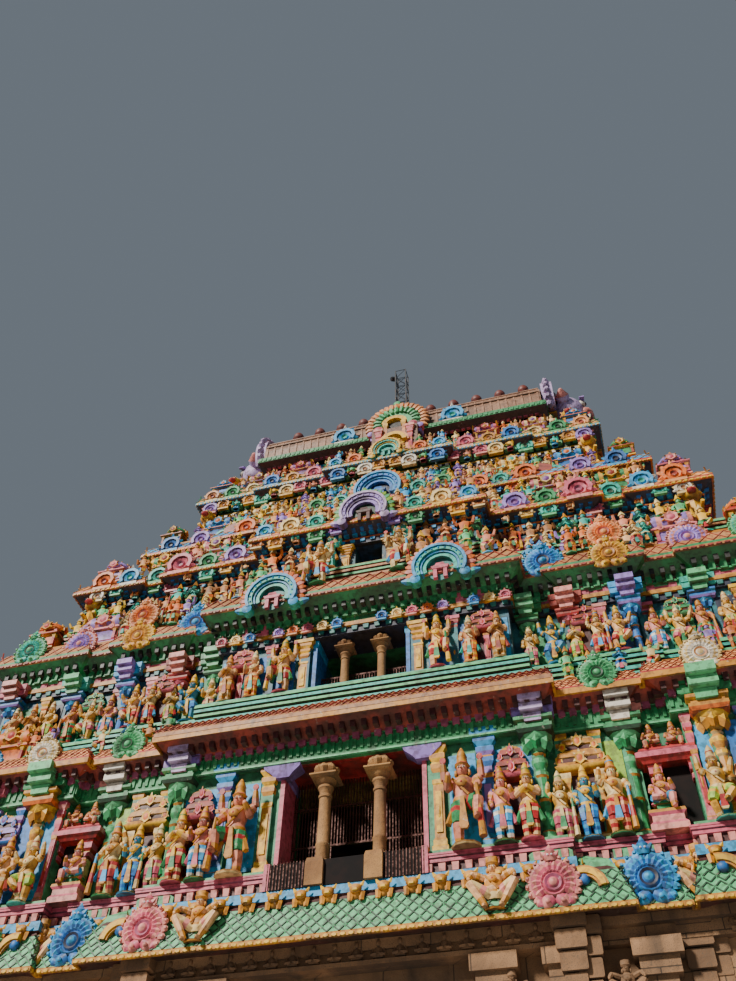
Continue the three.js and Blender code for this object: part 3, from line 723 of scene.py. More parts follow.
# outline of a storey's front right quarter: each corner is (x, y, which way the wall beside it faces in x)
def outlineCorners(storey, cornice=None, share=1.0):
    steps = [tuple(step) for step in storey["steps"]]
    if cornice:
        wide = (cornice["centre"] - steps[0][0] - cornice["reach"]) * share
        extra = (cornice["centreReach"] - cornice["reach"]) * share
        steps[0] = (steps[0][0] + wide, steps[0][1] + extra)
    corners = []
    for (x, depth), (_, nextDepth) in zip(steps, steps[1:]):
        way = 1 if depth > nextDepth else -1
        corners += [(x, -depth, way), (x, -nextDepth, way)]
    width, depth = steps[-1]
    bay, out = storey["sideBay"]
    corners += [(width, -depth, 1), (width, -bay, 1), (width + out, -bay, 1)]
    return corners


def markVertices(piece, wanted):
    mesh = piece.data
    flags = np.array(wanted, dtype=bool)
    pairs = np.zeros(len(mesh.edges) * 2, dtype=np.int32)
    mesh.edges.foreach_get("vertices", pairs)
    pairs = pairs.reshape(-1, 2)
    mesh.vertices.foreach_set("select", flags)
    mesh.edges.foreach_set("select", flags[pairs[:, 0]] & flags[pairs[:, 1]])
    mesh.polygons.foreach_set("select", np.zeros(len(mesh.polygons), dtype=bool))


def vertexPlaces(piece):
    places = np.zeros(len(piece.data.vertices) * 3)
    piece.data.vertices.foreach_get("co", places)
    return places.reshape(-1, 3)


def moulding(name, corners, profile):
    # profile is a closed loop of (how far out, height, role of the band that starts there)
    firstX, firstY, firstWay = corners[0]
    out, height, _ = profile[0]
    bpy.ops.mesh.primitive_plane_add(size=0.1, location=(firstX + firstWay * out, firstY - out, height))
    piece = bpy.context.object
    piece.name = name
    bpy.ops.object.mode_set(mode="EDIT")
    bpy.ops.mesh.merge(type="CENTER")
    loop = profile + profile[:1]
    for (lastOut, lastHeight, _), (nextOut, nextHeight, _) in zip(loop, loop[1:]):
        step = nextOut - lastOut
        extrudeBy(firstWay * step, -step, nextHeight - lastHeight)
    bpy.ops.mesh.select_all(action="SELECT")
    bpy.ops.mesh.remove_doubles(threshold=0.0001)
    extrudeBy(-firstX, 0, 0)
    bpy.ops.transform.resize(value=(0, 1, 1), center_override=(0, 0, 0))
    bpy.ops.object.mode_set(mode="OBJECT")
    settle(piece)
    giveRole(piece, profile[0][2])
    middles = np.array([[(a[0] + b[0]) / 2, (a[1] + b[1]) / 2] for a, b in zip(loop, loop[1:])])
    numbers = np.array([roleNumber[point[2]] for point in profile], dtype=np.int32)
    centres = faceCentres(piece)
    seen = np.stack([firstY - centres[:, 1], centres[:, 2]], axis=1)
    nearest = ((seen[:, None] - middles[None]) ** 2).sum(axis=2).argmin(axis=1)
    piece.data.polygons.foreach_set("material_index", numbers[nearest])
    markVertices(piece, vertexPlaces(piece)[:, 0] > firstX * 0.4)
    bpy.ops.object.mode_set(mode="EDIT")
    for (x, y, way), (nextX, nextY, nextWay) in zip(corners, corners[1:]):
        extrudeBy(nextX - x, nextY - y, 0)
        if nextWay != way:
            bpy.ops.transform.resize(value=(-1, 1, 1), center_override=(nextX, nextY, 0))
    extrudeBy(0, -corners[-1][1], 0)
    bpy.ops.transform.resize(value=(1, 0, 1), center_override=(0, 0, 0))
    bpy.ops.object.mode_set(mode="OBJECT")
    mirror = piece.modifiers.new("bothWays", "MIRROR")
    mirror.use_axis = (True, True, False)
    mirror.merge_threshold = 0.001
    bpy.ops.object.modifier_apply(modifier="bothWays")
    bpy.ops.object.mode_set(mode="EDIT")
    bpy.ops.mesh.select_all(action="SELECT")
    bpy.ops.mesh.remove_doubles(threshold=0.0005)
    closeUp()
    return piece


def paintIn(piece, colours, tint=0.0):
    # each role's colour goes to the corners of its faces, and one material reads it
    mesh = piece.data
    roles = np.zeros(len(mesh.polygons), dtype=np.int32)
    mesh.polygons.foreach_get("material_index", roles)
    corners = np.zeros(len(mesh.polygons), dtype=np.int32)
    mesh.polygons.foreach_get("loop_total", corners)
    table = np.ones((len(roleNames), 4))
    for role, colour in colours.items():
        shade = 1 + random.uniform(-tint, tint)
        table[roleNumber[role], :3] = [min(part * shade, 0.95) for part in paint[colour]]
    spread = np.repeat(table[roles], corners, axis=0)
    layer = mesh.color_attributes.new("paint", "FLOAT_COLOR", "CORNER")
    layer.data.foreach_set("color", spread.ravel())
    mesh.materials.clear()
    mesh.materials.append(paintedPlaster)
    mesh.polygons.foreach_set("material_index", np.zeros(len(mesh.polygons), dtype=np.int32))
    return piece


def finishPiece(parts, name, slot, *nodes):
    piece = keepInside(joined(parts, name))
    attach(piece, "root")
    if nodes:
        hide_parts(*nodes)
    print("piece made:", name, len(piece.data.polygons), "faces")
    return piece


# figures face the front; a height of 1 reaches the top of the crown
figureBuild = {
    "hips": 0.44,
    "chest": 0.62,
    "shoulders": 0.70,
    "head": 0.80,
    "thigh": (0.082, 0.06),
    "calf": (0.058, 0.038),
    "upperArm": (0.05, 0.04),
    "foreArm": (0.04, 0.03),
    "shoulderOut": 0.125,
    "hipOut": 0.064,
}
# knees, feet and arms are given for both sides; each arm is an elbow and a hand
figurePoses = {
    "standing": {
        "drop": 0,
        "knees": [(-0.06, -0.03, 0.245), (0.065, -0.045, 0.25)],
        "feet": [(-0.06, 0, 0.03), (0.08, -0.01, 0.03)],
        "arms": [[(-0.165, -0.01, 0.57), (-0.13, -0.09, 0.48)], [(0.165, -0.03, 0.585), (0.13, -0.12, 0.68)]],
    },
    "praying": {
        "drop": 0,
        "knees": [(-0.06, -0.03, 0.245), (0.06, -0.03, 0.245)],
        "feet": [(-0.06, 0, 0.03), (0.06, 0, 0.03)],
        "arms": [[(-0.155, -0.05, 0.59), (-0.018, -0.135, 0.65)],
                 [(0.155, -0.05, 0.59), (0.018, -0.135, 0.65)]],
    },
    "mace": {
        "drop": 0,
        "knees": [(-0.07, -0.04, 0.245), (0.07, -0.03, 0.245)],
        "feet": [(-0.08, 0, 0.03), (0.08, 0, 0.03)],
        "arms": [[(-0.18, -0.01, 0.72), (-0.15, -0.06, 0.84)], [(0.18, -0.02, 0.6), (0.165, -0.11, 0.5)]],
        "club": [(0.175, -0.12, 0.04), (0.165, -0.115, 0.56)],
    },
    "dancing": {
        "drop": 0.05,
        "knees": [(-0.12, -0.07, 0.23), (0.16, -0.11, 0.33)],
        "feet": [(-0.07, -0.02, 0.03), (0.04, -0.12, 0.2)],
        "arms": [[(-0.19, -0.02, 0.68), (-0.2, -0.06, 0.83)], [(0.18, -0.04, 0.6), (0.23, -0.1, 0.72)]],
    },
    "guardian": {
        "drop": 0,
        "knees": [(-0.07, -0.03, 0.245), (0.17, -0.14, 0.42)],
        "feet": [(-0.07, 0, 0.03), (0.15, -0.14, 0.22)],
        "arms": [
            [(-0.17, -0.04, 0.6), (-0.13, -0.13, 0.7)],
            [(0.17, -0.05, 0.6), (0.16, -0.15, 0.5)],
            [(-0.2, 0.0, 0.72), (-0.2, -0.03, 0.87)],
            [(0.2, 0.0, 0.72), (0.2, -0.03, 0.87)],
        ],
        "club": [(0.2, -0.16, 0.03), (0.165, -0.16, 0.56)],
    },
    "seated": {
        "drop": 0.22,
        "knees": [(-0.15, -0.1, 0.23), (0.13, -0.14, 0.24)],
        "feet": [(0.02, -0.13, 0.2), (0.12, -0.14, 0.03)],
        "arms": [[(-0.16, -0.02, 0.37), (-0.13, -0.12, 0.28)], [(0.165, -0.04, 0.37), (0.13, -0.13, 0.47)]],
    },
    "squatting": {
        "drop": 0.22,
        "knees": [(-0.3, -0.12, 0.36), (0.3, -0.12, 0.36)],
        "feet": [(-0.1, -0.14, 0.02), (0.1, -0.14, 0.02)],
        "arms": [[(-0.26, -0.06, 0.5), (-0.3, -0.16, 0.4)], [(0.26, -0.06, 0.5), (0.3, -0.16, 0.4)]],
    },
}


def limb(start, end, radii, roles, sides=7, swell=0.12):
    start = Vector(start)
    end = Vector(end)
    length = (end - start).length
    sections = []
    for i in range(len(roles) + 1):
        share = i / len(roles)
        radius = radii[0] + (radii[1] - radii[0]) * share
        radius *= 1 + swell * math.sin(math.pi * share)
        sections.append((length * share, radius, roles[max(i - 1, 0)]))
    return loft(sections, sides, start, end - start)


def finerDetails(head, drop):
    # ears, eyes, brows, the ends of the waistcloth, nose, mouth, chain and breast ornament
    build = figureBuild
    waist = build["hips"] + 0.02 - drop
    chest = build["chest"] + 0.005 - drop
    start = (-0.1, -0.075, build["shoulders"] - 0.01 - drop)
    end = (0.07, -0.1, build["hips"] + 0.05 - drop)
    parts = [
        loft([(0, 0.006, "skin"), (0.03, 0.013, "skin")], 4, (0, -0.07, head + 0.016), (0, -0.35, -1)),
        ball((0, -0.072, head - 0.032), 0.012, (1.3, 0.5, 0.5), "accent", 6, 3),
        limb(start, end, (0.014, 0.014), ["gold"] * 3, 5, 0),
        ball((0, -0.1, chest), 0.04, (1.6, 0.5, 1.2), "gold", 8, 4),
        ball((0, -0.115, chest), 0.014, (1, 0.6, 1), "accent", 6, 4),
    ]
    for side in (-1, 1):
        hem = (side * 0.17, -0.04, 0.24 - drop * 0.5)
        parts += [
            ball((side * 0.072, -0.01, head - 0.03), 0.026, (0.8, 0.8, 1.5), "gold", 5, 4),
            ball((side * 0.026, -0.068, head + 0.008), 0.013, (1.3, 0.5, 0.8), "white", 6, 3),
            limb((side * 0.09, -0.02, waist), hem, (0.02, 0.035), ["trim"] * 2, 5),
            ball((side * 0.026, -0.0745, head + 0.008), 0.006, (1.1, 0.6, 1.1), "dark", 4, 3),
            ball((side * 0.027, -0.067, head + 0.026), 0.013, (1.4, 0.4, 0.22), "dark", 4, 3),
        ]
    return parts


def makeFigure(pose, fine=True):
    build = figureBuild
    stance = figurePoses[pose]
    drop = stance["drop"]
    sides = 7 if fine else 4
    long = pose in ("standing", "praying", "mace")
    bands = ["cloth", "stripe", "cloth", "cloth"] if fine else ["cloth", "stripe"]
    shins = ["cloth", "stripe", "cloth", "stripe", "gold"] if long and fine else ["skin", "skin", "gold"]
    parts = []
    for side, knee, foot in zip((-1, 1), stance["knees"], stance["feet"]):
        hip = (side * build["hipOut"], 0, build["hips"] - drop)
        parts.append(limb(hip, knee, build["thigh"], bands, sides))
        parts.append(limb(knee, foot, build["calf"], shins if fine else shins[1:], sides))
        toe = (foot[0] + side * 0.01, foot[1] - 0.04, foot[2])
        if fine:
            parts.append(ball(toe, 0.055, (0.75, 1.2, 0.55), "skin", 6, 3))
    low = -drop
    torso = [
        (build["hips"] - 0.06 + low, 0.095, "cloth"),
        (build["hips"] + 0.02 + low, 0.125, "cloth"),
        (build["hips"] + 0.055 + low, 0.118, "gold"),
        (build["hips"] + 0.1 + low, 0.095 if pose != "squatting" else 0.13, "skin"),
        (build["chest"] + low, 0.12, "gold" if pose == "squatting" else "skin"),
        (build["shoulders"] - 0.015 + low, 0.128, "skin"),
        (build["shoulders"] + 0.015 + low, 0.08, "gold"),
        (build["shoulders"] + 0.055 + low, 0.042, "gold"),
    ]
    parts.append(loft(torso if fine else torso[1:4] + torso[5:8:2], sides + 2, squash=(1, 0.72, 1)))
    for arm, (elbow, hand) in enumerate(stance["arms"]):
        side = -1 if arm % 2 == 0 else 1
        shoulder = (side * build["shoulderOut"], 0.01 if arm > 1 else 0, build["shoulders"] - 0.02 - drop)
        sleeve = ["skin", "gold", "skin"] if fine else ["skin"]
        parts.append(limb(shoulder, elbow, build["upperArm"], sleeve, sides))
        parts.append(limb(elbow, hand, build["foreArm"], sleeve[:2], sides))
        if fine:
            parts.append(ball(hand, 0.03, (0.9, 0.8, 1.1), "skin", 6, 3))
        if arm > 1:
            held = (hand[0], hand[1], hand[2] + 0.04)
            parts.append(loft([(0, 0.035, "gold"), (0.02, 0.035, "accent")], sides, held, (0, -1, 0)))
    head = build["head"] - drop
    crown = [
        (head + 0.03, 0.07, "gold"),
        (head + 0.055, 0.088, "gold"),
        (head + 0.07, 0.072, "accent"),
        (head + 0.08, 0.066, "gold"),
        (head + 0.14, 0.056, "gold"),
        (head + 0.15, 0.062, "trim"),
        (head + 0.2, 0.04, "gold"),
        (head + 0.25, 0.01, "gold"),
    ]
    if pose == "squatting":
        crown = [(head + 0.03, 0.08, "gold"), (head + 0.06, 0.1, "gold"), (head + 0.09, 0.085, "trim"),
                 (head + 0.14, 0.09, "gold"), (head + 0.16, 0.04, "gold")]
    parts.append(loft(crown if fine else crown[1::3], sides + (0 if fine else 1), squash=(1, 0.9, 1)))
    headCuts = (9, 6) if fine else (6, 4)
    hairCuts = (7, 4) if fine else (5, 3)
    parts.append(ball((0, -0.01, head), 0.066, (0.95, 0.95, 1.14), "skin", *headCuts))
    parts.append(ball((0, 0.022, head - 0.005), 0.08, (1.05, 0.85, 1.1), "hair", *hairCuts))
    if fine:
        parts += finerDetails(head, drop)
    if drop < 0.1:
        fall = [(0.16, 0.03, 0.014, "trim"), (0.19, 0.05, 0.016, "gold"), (0.21, 0.045, 0.016, "trim"),
                (0.34, 0.03, 0.018, "trim"), (0.47, 0.02, 0.03, "gold")]
        parts.append(stackUp(fall if fine else fall[1::2], (0, -0.09, -drop)))
    if pose == "seated":
        seat = [(0, 0.13, 0.09, "main"), (0.03, 0.13, 0.09, "main"), (0.04, 0.1, 0.08, "gold"),
                (0.13, 0.1, 0.08, "main"), (0.14, 0.14, 0.1, "gold"), (0.18, 0.14, 0.1, "main")]
        parts.append(stackUp(seat if fine else seat[::3] + seat[-1:], (-0.02, 0.03, 0)))
    base = [(0, 0.15, "main"), (0.012, 0.16, "main"), (0.022, 0.14, "gold"), (0.03, 0.15, "main")]
    parts.append(loft(base if fine else base[::3], 9 if fine else 6, (0, -0.03, 0), squash=(1, 0.75, 1)))
    if "club" in stance:
        foot, top = stance["club"]
        rings = ["gold", "accent", "gold", "trim"] if fine else ["gold", "accent"]
        parts.append(limb(foot, top, (0.042, 0.016), rings, sides, 0))
    return smooth(joined(parts, pose), 50)


def fan(count, start, sweep):
    # ways out from the middle in the plane of the wall, from one angle over a sweep in degrees
    for i in range(count):
        angle = math.radians(start + sweep * i / (count - 1))
        yield Vector((math.cos(angle), 0, math.sin(angle)))


def leafOut(way, start, sections, sides, tip):
    # a leaf that grows outwards from the middle and curls forward at its tip
    parts = [loft(sections, sides, start, way, (1, 0.7, 1))]
    if tip:
        reach = sections[-1][0] * 0.94
        curl = way * reach + Vector(start) + Vector((0, -0.12, 0))
        parts.append(ball(curl, tip, (1, 0.8, 1), "trim", 5, 3))
    return parts


# leafy round ornament of radius 1: two rings of leaves round a ringed boss, leaves at the foot and a crown
def makeKudu():
    out = (0, -1, 0)
    # painted shade: one groove of the boss and the disc behind the leaves take the dark colour, a darker tone
    # of the main one
    boss = [(0.0, 0.66, "main"), (0.22, 0.64, "main"), (0.3, 0.56, "trim"), (0.22, 0.46, "main"),
            (0.32, 0.38, "main"), (0.26, 0.26, "dark"), (0.34, 0.18, "main"), (0.42, 0.05, "trim")]
    disc = [(0, 1.0, "dark"), (0.08, 0.94, "dark")]
    parts = [loft(boss, 14, (0, 0, 0), out), loft(disc, 14, (0, 0, 0), out)]
    leaves = 15
    spread = math.radians(264)
    for i in range(leaves):
        angle = math.pi / 2 - spread / 2 + spread * i / (leaves - 1)
        way = Vector((math.cos(angle), 0, math.sin(angle)))
        leaf = [(0.6, 0.15, "main"), (0.98, 0.26, "main"), (1.24, 0.09, "trim")]
        parts += leafOut(way, (0, -0.08, 0), leaf, 5, 0.09)
        if i < leaves - 1:
            angle += spread / (leaves - 1) / 2
            way = Vector((math.cos(angle), 0, math.sin(angle)))
            leaf = [(0.5, 0.12, "trim"), (0.74, 0.17, "main"), (0.95, 0.06, "trim")]
            parts += leafOut(way, (0, -0.22, 0), leaf, 4, 0)
    for side in (-1, 1):
        parts += [
            loft([(0, 0.24, "main"), (0.28, 0.32, "main"), (0.5, 0.26, "trim"), (0.68, 0.08, "trim")], 8,
                 (side * 0.1, -0.12, -0.6), (side * 0.7, 0, -0.55), (1, 0.6, 1)),
            loft([(0, 0.14, "trim"), (0.22, 0.2, "main"), (0.44, 0.06, "trim")], 6,
                 (side * 0.52, -0.16, -0.92), (side, 0, 0.55), (1, 0.6, 1)),
            ball((side * 0.34, -0.34, -0.84), 0.12, (1, 0.7, 1), "trim", 7, 5),
        ]
    crown = [(0.98, 0.26, "main"), (1.16, 0.36, "trim"), (1.3, 0.22, "main"), (1.42, 0.28, "trim"),
             (1.6, 0.12, "main"), (1.78, 0.03, "trim")]
    parts.append(loft(crown, 8, (0, -0.14, 0), squash=(1, 0.7, 1)))
    for side in (-1, 1):
        parts += leafOut(Vector((side * 0.8, 0, 1)).normalized(), (side * 0.1, -0.16, 1.1),
                         [(0, 0.12, "trim"), (0.22, 0.16, "main"), (0.46, 0.03, "trim")], 6, 0)
        parts.append(ball((side * 0.09, -0.4, 1.2), 0.05, (1, 0.6, 1), "white", 6, 4))
        parts.append(ball((side * 0.09, -0.43, 1.2), 0.024, (1, 0.6, 1), "hair", 5, 3))
    return smooth(joined(parts, "kudu"), 45)


# the plainer one of the upper cornices: a ringed horseshoe with a frilled edge on a bar
def makeSmallKudu():
    parts = [
        arch((0.7, 1.0), (-0.34, 0), (-35, 215), 7, role="main"),
        # painted shade: the recessed middle of the boss takes the dark colour
        loft([(0, 0.96, "main"), (0.1, 0.66, "main"), (0.22, 0.6, "trim"), (0.1, 0.4, "main"),
              (0.24, 0.3, "main"), (0.1, 0.16, "dark")], 8, (0, 0, 0), (0, -1, 0)),
        stackUp([(-0.98, 0.86, 0.22, "main"), (-0.7, 0.86, 0.24, "trim")], (0, -0.06, 0)),
    ]
    for i, way in enumerate(fan(7, -18, 216)):
        role = "trim" if i % 2 else "main"
        parts.append(loft([(0.9, 0.28, role), (1.3, 0.08, role)], 4, (0, -0.14, 0), way, (1, 0.7, 1)))
    parts.append(loft([(1.0, 0.22, "accent"), (1.6, 0.05, "trim")], 4, (0, -0.16, 0)))
    return smooth(joined(parts, "smallKudu"), 45)


# horseshoe arch with layered rings and a frill of petals over a small shrine in a recess; radius 1
def makeArch():
    steps = 14
    parts = [
        arch((0.98, 1.1), (-0.42, 0), (-28, 208), steps, role="trim"),
        arch((0.82, 0.96), (-0.36, 0), (-26, 206), steps, role="main"),
        arch((0.72, 0.8), (-0.28, 0), (-24, 204), steps, role="trim"),
        arch((0.55, 0.7), (-0.22, 0), (-22, 202), steps, role="main"),
        # painted shade: the disc at the back of the recess takes the dark colour, a darker tone of the rings
        loft([(0, 0.58, "dark"), (0.05, 0.58, "dark")], steps, (0, 0, 0), (0, -1, 0)),
        stackUp(ofRole("cloth", (-0.1, 0.3, 0.1), (0.02, 0.36, 0.12), (0.06, 0.2, 0.1), (0.2, 0.14, 0.08)),
                (0, -0.14, 0)),
    ]
    for i, way in enumerate(fan(21, -22, 224)):
        role = "accent" if i % 2 else "gold"
        parts.append(loft([(1.02, 0.11, role), (1.28, 0.15, role), (1.42, 0.04, role)], 5,
                          (0, -0.16, 0), way, (1, 0.7, 1)))
    for i in range(13):
        angle = math.radians(-15 + 210 * i / 12)
        bead = (math.cos(angle) * 0.89, -0.37, math.sin(angle) * 0.89)
        parts.append(ball(bead, 0.05, (1, 0.7, 1), "trim", 4, 3))
    for side in (-1, 1):
        parts += [
            stackUp([(-0.56, 0.08, 0.08, "cloth"), (-0.08, 0.07, 0.08, "cloth")], (side * 0.2, -0.14, 0)),
            loft([(0, 0.22, "main"), (0.34, 0.22, "main"), (0.4, 0.1, "trim")], 9, (side * 0.98, 0, -0.56),
                 (0, -1, 0)),
            loft([(0, 0.15, "trim"), (0.24, 0.18, "main"), (0.5, 0.05, "trim")], 6,
                 (side * 1.08, -0.12, -0.52), (side, 0, 0.25), (1, 0.8, 1)),
        ]
    crown = [(1.05, 0.16, "gold"), (1.2, 0.26, "main"), (1.34, 0.2, "accent"), (1.56, 0.04, "gold")]
    parts.append(loft(crown, 8, (0, -0.16, 0), squash=(1, 0.6, 1)))
    return smooth(joined(parts, "horseshoe"), 45)


def makeBust():
    # a crouching beast that looks out from the recess under a floor
    parts = [
        ball((0, -0.1, 0.14), 0.13, (0.9, 1.2, 0.9), "main", 6, 4),
        ball((0, -0.26, 0.24), 0.105, (1, 0.95, 1), "main", 7, 5),
        ball((0, -0.36, 0.2), 0.055, (1.1, 0.9, 0.8), "accent", 5, 3),
    ]
    for side in (-1, 1):
        parts.append(loft([(0, 0.05, "main"), (0.2, 0.035, "main")], 4, (side * 0.09, -0.2, 0.18),
                          (0, -0.3, -1)))
        parts.append(loft([(0, 0.04, "accent"), (0.1, 0.01, "accent")], 4, (side * 0.08, -0.24, 0.3),
                          (side * 0.5, 0, 1)))
    return smooth(joined(parts, "bust"), 45)


def makeLion():
    # a rearing beast, seen at the ends of the cornices
    parts = [
        loft([(0, 0.16, "main"), (0.2, 0.2, "main"), (0.5, 0.15, "main"), (0.62, 0.12, "trim")], 6,
             (0, 0.05, 0.2), (0, -0.25, 1)),
        ball((0, -0.2, 0.92), 0.19, (1, 1, 1), "main", 7, 5),
        ball((0, -0.36, 0.86), 0.11, (1.1, 0.9, 0.8), "accent", 6, 4),
        ball((0, -0.12, 0.93), 0.24, (1.05, 0.55, 1.05), "hair", 7, 4),
    ]
    for side in (-1, 1):
        parts.append(limb((side * 0.12, 0, 0.5), (side * 0.17, -0.3, 0.55), (0.07, 0.05), ["main"], 5))
        parts.append(limb((side * 0.13, 0.05, 0.25), (side * 0.18, -0.12, 0.02), (0.1, 0.06), ["main"], 5))
        parts.append(ball((side * 0.08, -0.36, 0.96), 0.04, role="white", segments=5, rings=3))
        parts.append(ball((side * 0.08, -0.395, 0.96), 0.018, role="dark", segments=4, rings=3))
        parts.append(loft([(0, 0.05, "trim"), (0.16, 0.01, "trim")], 5, (side * 0.13, -0.12, 1.05),
                          (side * 0.7, 0, 1)))
    return smooth(joined(parts, "lion"), 45)


# square pilaster of height 1, drawn flat against the wall
def makePilaster():
    parts = [stackUp([
        (0, 0.13, 0.1, "trim"), (0.05, 0.13, 0.1, "trim"), (0.06, 0.11, 0.085, "gold"),
        (0.1, 0.11, 0.085, "trim"), (0.12, 0.085, 0.07, "main"), (0.56, 0.085, 0.07, "main"),
        (0.57, 0.1, 0.08, "gold"), (0.6, 0.1, 0.08, "gold"), (0.61, 0.08, 0.065, "main"),
        (0.66, 0.08, 0.065, "accent"), (0.7, 0.115, 0.09, "main"), (0.74, 0.115, 0.09, "main"),
        (0.76, 0.085, 0.07, "gold"), (0.79, 0.13, 0.1, "accent"), (0.83, 0.13, 0.1, "main"),
        (0.84, 0.1, 0.08, "trim"), (0.88, 0.16, 0.12, "trim"), (0.93, 0.16, 0.12, "main"),
        (0.94, 0.2, 0.14, "gold"), (1.0, 0.2, 0.14, "trim"),
    ])]
    parts.append(slab(0.16, 0.5, 0.05, 0.02, "accent", (0, -0.07, 0)))
    parts.append(ball((0, -0.09, 0.33), 0.035, (1, 0.5, 1.6), "gold", 6, 4))
    return smooth(joined(parts, "pilaster"), 30)


# round column with ringed shaft and a wide lotus capital, height 1
def makeColumn(fine=True):
    parts = [loft([
        (0, 0.13, "trim"), (0.05, 0.13, "trim"), (0.07, 0.1, "gold"), (0.1, 0.095, "main"),
        (0.3, 0.09, "main"), (0.32, 0.11, "gold"), (0.35, 0.09, "main"), (0.5, 0.088, "main"),
        (0.52, 0.11, "gold"), (0.55, 0.11, "trim"), (0.57, 0.085, "main"), (0.62, 0.12, "main"),
        (0.66, 0.125, "trim"), (0.69, 0.08, "main"), (0.71, 0.11, "gold"), (0.73, 0.085, "main"),
        (0.76, 0.13, "trim"), (0.82, 0.22, "main"), (0.86, 0.25, "trim"),
    ], 9 if fine else 6)]
    parts.append(stackUp([
        (0.86, 0.25, 0.25, "main"), (0.89, 0.28, 0.28, "accent"), (0.92, 0.28, 0.28, "main"),
        (0.93, 0.24, 0.24, "gold"), (0.96, 0.24, 0.24, "main"), (0.97, 0.3, 0.29, "trim"),
        (1.0, 0.3, 0.29, "main"),
    ]))
    for i in range(8 if fine else 0):
        angle = math.tau * i / 8
        way = Vector((math.cos(angle), math.sin(angle), 1.5))
        parts.append(loft([(0, 0.05, "trim"), (0.08, 0.075, "main"), (0.13, 0.04, "trim")], 4,
                          (way.x * 0.13, way.y * 0.13, 0.75), way))
    return smooth(joined(parts, "column"), 35)


# stack of square blocks that step out in front of a frieze, 1 wide and 1 high
def makeBracket():
    parts = [
        stackUp([(0, 0.2, 0.2, "main"), (0.3, 0.22, 0.22, "main")], (0, -0.1, 0)),
        stackUp([(0.32, 0.24, 0.3, "main"), (0.36, 0.28, 0.34, "trim"), (0.62, 0.28, 0.34, "main")],
                (0, -0.16, 0)),
        stackUp([(0.64, 0.24, 0.4, "main"), (0.68, 0.28, 0.44, "trim"), (1.0, 0.28, 0.44, "main")],
                (0, -0.22, 0)),
        stackUp(ofRole("accent", (0.3, 0.44, 0.14), (0.34, 0.5, 0.16), (0.62, 0.5, 0.16)), (0, -0.02, 0)),
        stackUp([(0.64, 0.5, 0.2, "accent"), (0.98, 0.52, 0.22, "accent")], (0, -0.02, 0)),
    ]
    return smooth(joined(parts, "bracket"), 30)


def potOn(at, size, sides=6):
    return loft([(0, 0.3 * size, "gold"), (0.1 * size, 0.3 * size, "gold"),
                 (0.16 * size, 0.16 * size, "accent"),
                 (0.3 * size, 0.34 * size, "main"), (0.48 * size, 0.36 * size, "main"),
                 (0.62 * size, 0.16 * size, "main"), (0.7 * size, 0.2 * size, "gold"),
                 (0.8 * size, 0.1 * size, "gold"), (1.0 * size, 0.02 * size, "gold")], sides, at)


def miniKudu(at, radius, towards=(0, -1, 0), petals=5):
    out = Vector(towards)
    right = out.cross(Vector((0, 0, 1)))
    parts = [loft([(0, radius, "main"), (radius * 0.3, radius * 0.95, "main"),
                   (radius * 0.2, radius * 0.6, "trim"),
                   (radius * 0.35, radius * 0.35, "accent")], 6, at, out)]
    for i in range(petals):
        angle = math.radians(-20 + 220 * i / (petals - 1))
        way = right * math.cos(angle) + Vector((0, 0, 1)) * math.sin(angle)
        start = Vector(at) + out * radius * 0.12
        parts.append(loft([(radius * 0.9, radius * 0.28, "trim"), (radius * 1.35, radius * 0.07, "gold")],
                          3, start, way))
    return parts


def shrineFoot(halfWidth, halfDepth):
    # base, body with corner posts and overhanging cornice of a small shrine
    w, d = halfWidth, halfDepth
    parts = [stackUp([
        (0, w * 0.92, d * 0.92, "trim"), (0.06, w * 0.92, d * 0.92, "trim"),
        (0.07, w * 0.84, d * 0.84, "gold"),
        (0.11, w * 0.84, d * 0.84, "main"), (0.14, w * 0.9, d * 0.9, "accent"),
        (0.17, w * 0.78, d * 0.78, "main"),
        (0.54, w * 0.78, d * 0.78, "main"), (0.57, w * 0.84, d * 0.84, "gold"), (0.6, w, d, "trim"),
        (0.64, w, d, "accent"), (0.72, w * 0.86, d * 0.86, "trim"), (0.78, w * 0.7, d * 0.7, "trim"),
        (0.86, w * 0.7, d * 0.7, "accent"),
    ])]
    for x in (-1, 1):
        for y in (-1, 1):
            parts.append(stackUp([(0.17, 0.05, 0.05, "gold"), (0.46, 0.04, 0.04, "accent"),
                                  (0.55, 0.07, 0.07, "gold")],
                                 (x * w * 0.76, y * d * 0.76, 0)))
    return parts


def makeDomedShrine(fine=True):
    parts = shrineFoot(0.52, 0.52)
    parts.append(loft([(0.84, 0.3, "trim"), (0.88, 0.44, "main"), (0.96, 0.49, "main"), (1.08, 0.46, "main"),
                       (1.2, 0.33, "main"), (1.27, 0.14, "accent"), (1.3, 0.16, "gold")],
                      10 if fine else 8))
    for i in range(10 if fine else 0):
        angle = math.tau * (i + 0.5) / 10
        way = Vector((math.cos(angle), math.sin(angle), 0))
        parts.append(loft([(0, 0.035, "trim"), (0.22, 0.04, "trim"), (0.36, 0.015, "gold")], 4,
                          way * 0.46 + Vector((0, 0, 0.9)), Vector((0, 0, 1)) - way * 0.35))
    for turn in range(4):
        way = Vector((math.sin(math.tau * turn / 4), -math.cos(math.tau * turn / 4), 0))
        if turn == 2:
            continue
        parts += miniKudu(way * 0.44 + Vector((0, 0, 0.98)), 0.17, way, 5 if fine else 3)
        if fine:
            parts += miniKudu(way * 0.46 + Vector((0, 0, 0.64)), 0.1, way, 3)
    parts.append(potOn((0, 0, 1.28), 0.2))
    return smooth(joined(parts, "domedShrine"), 40)


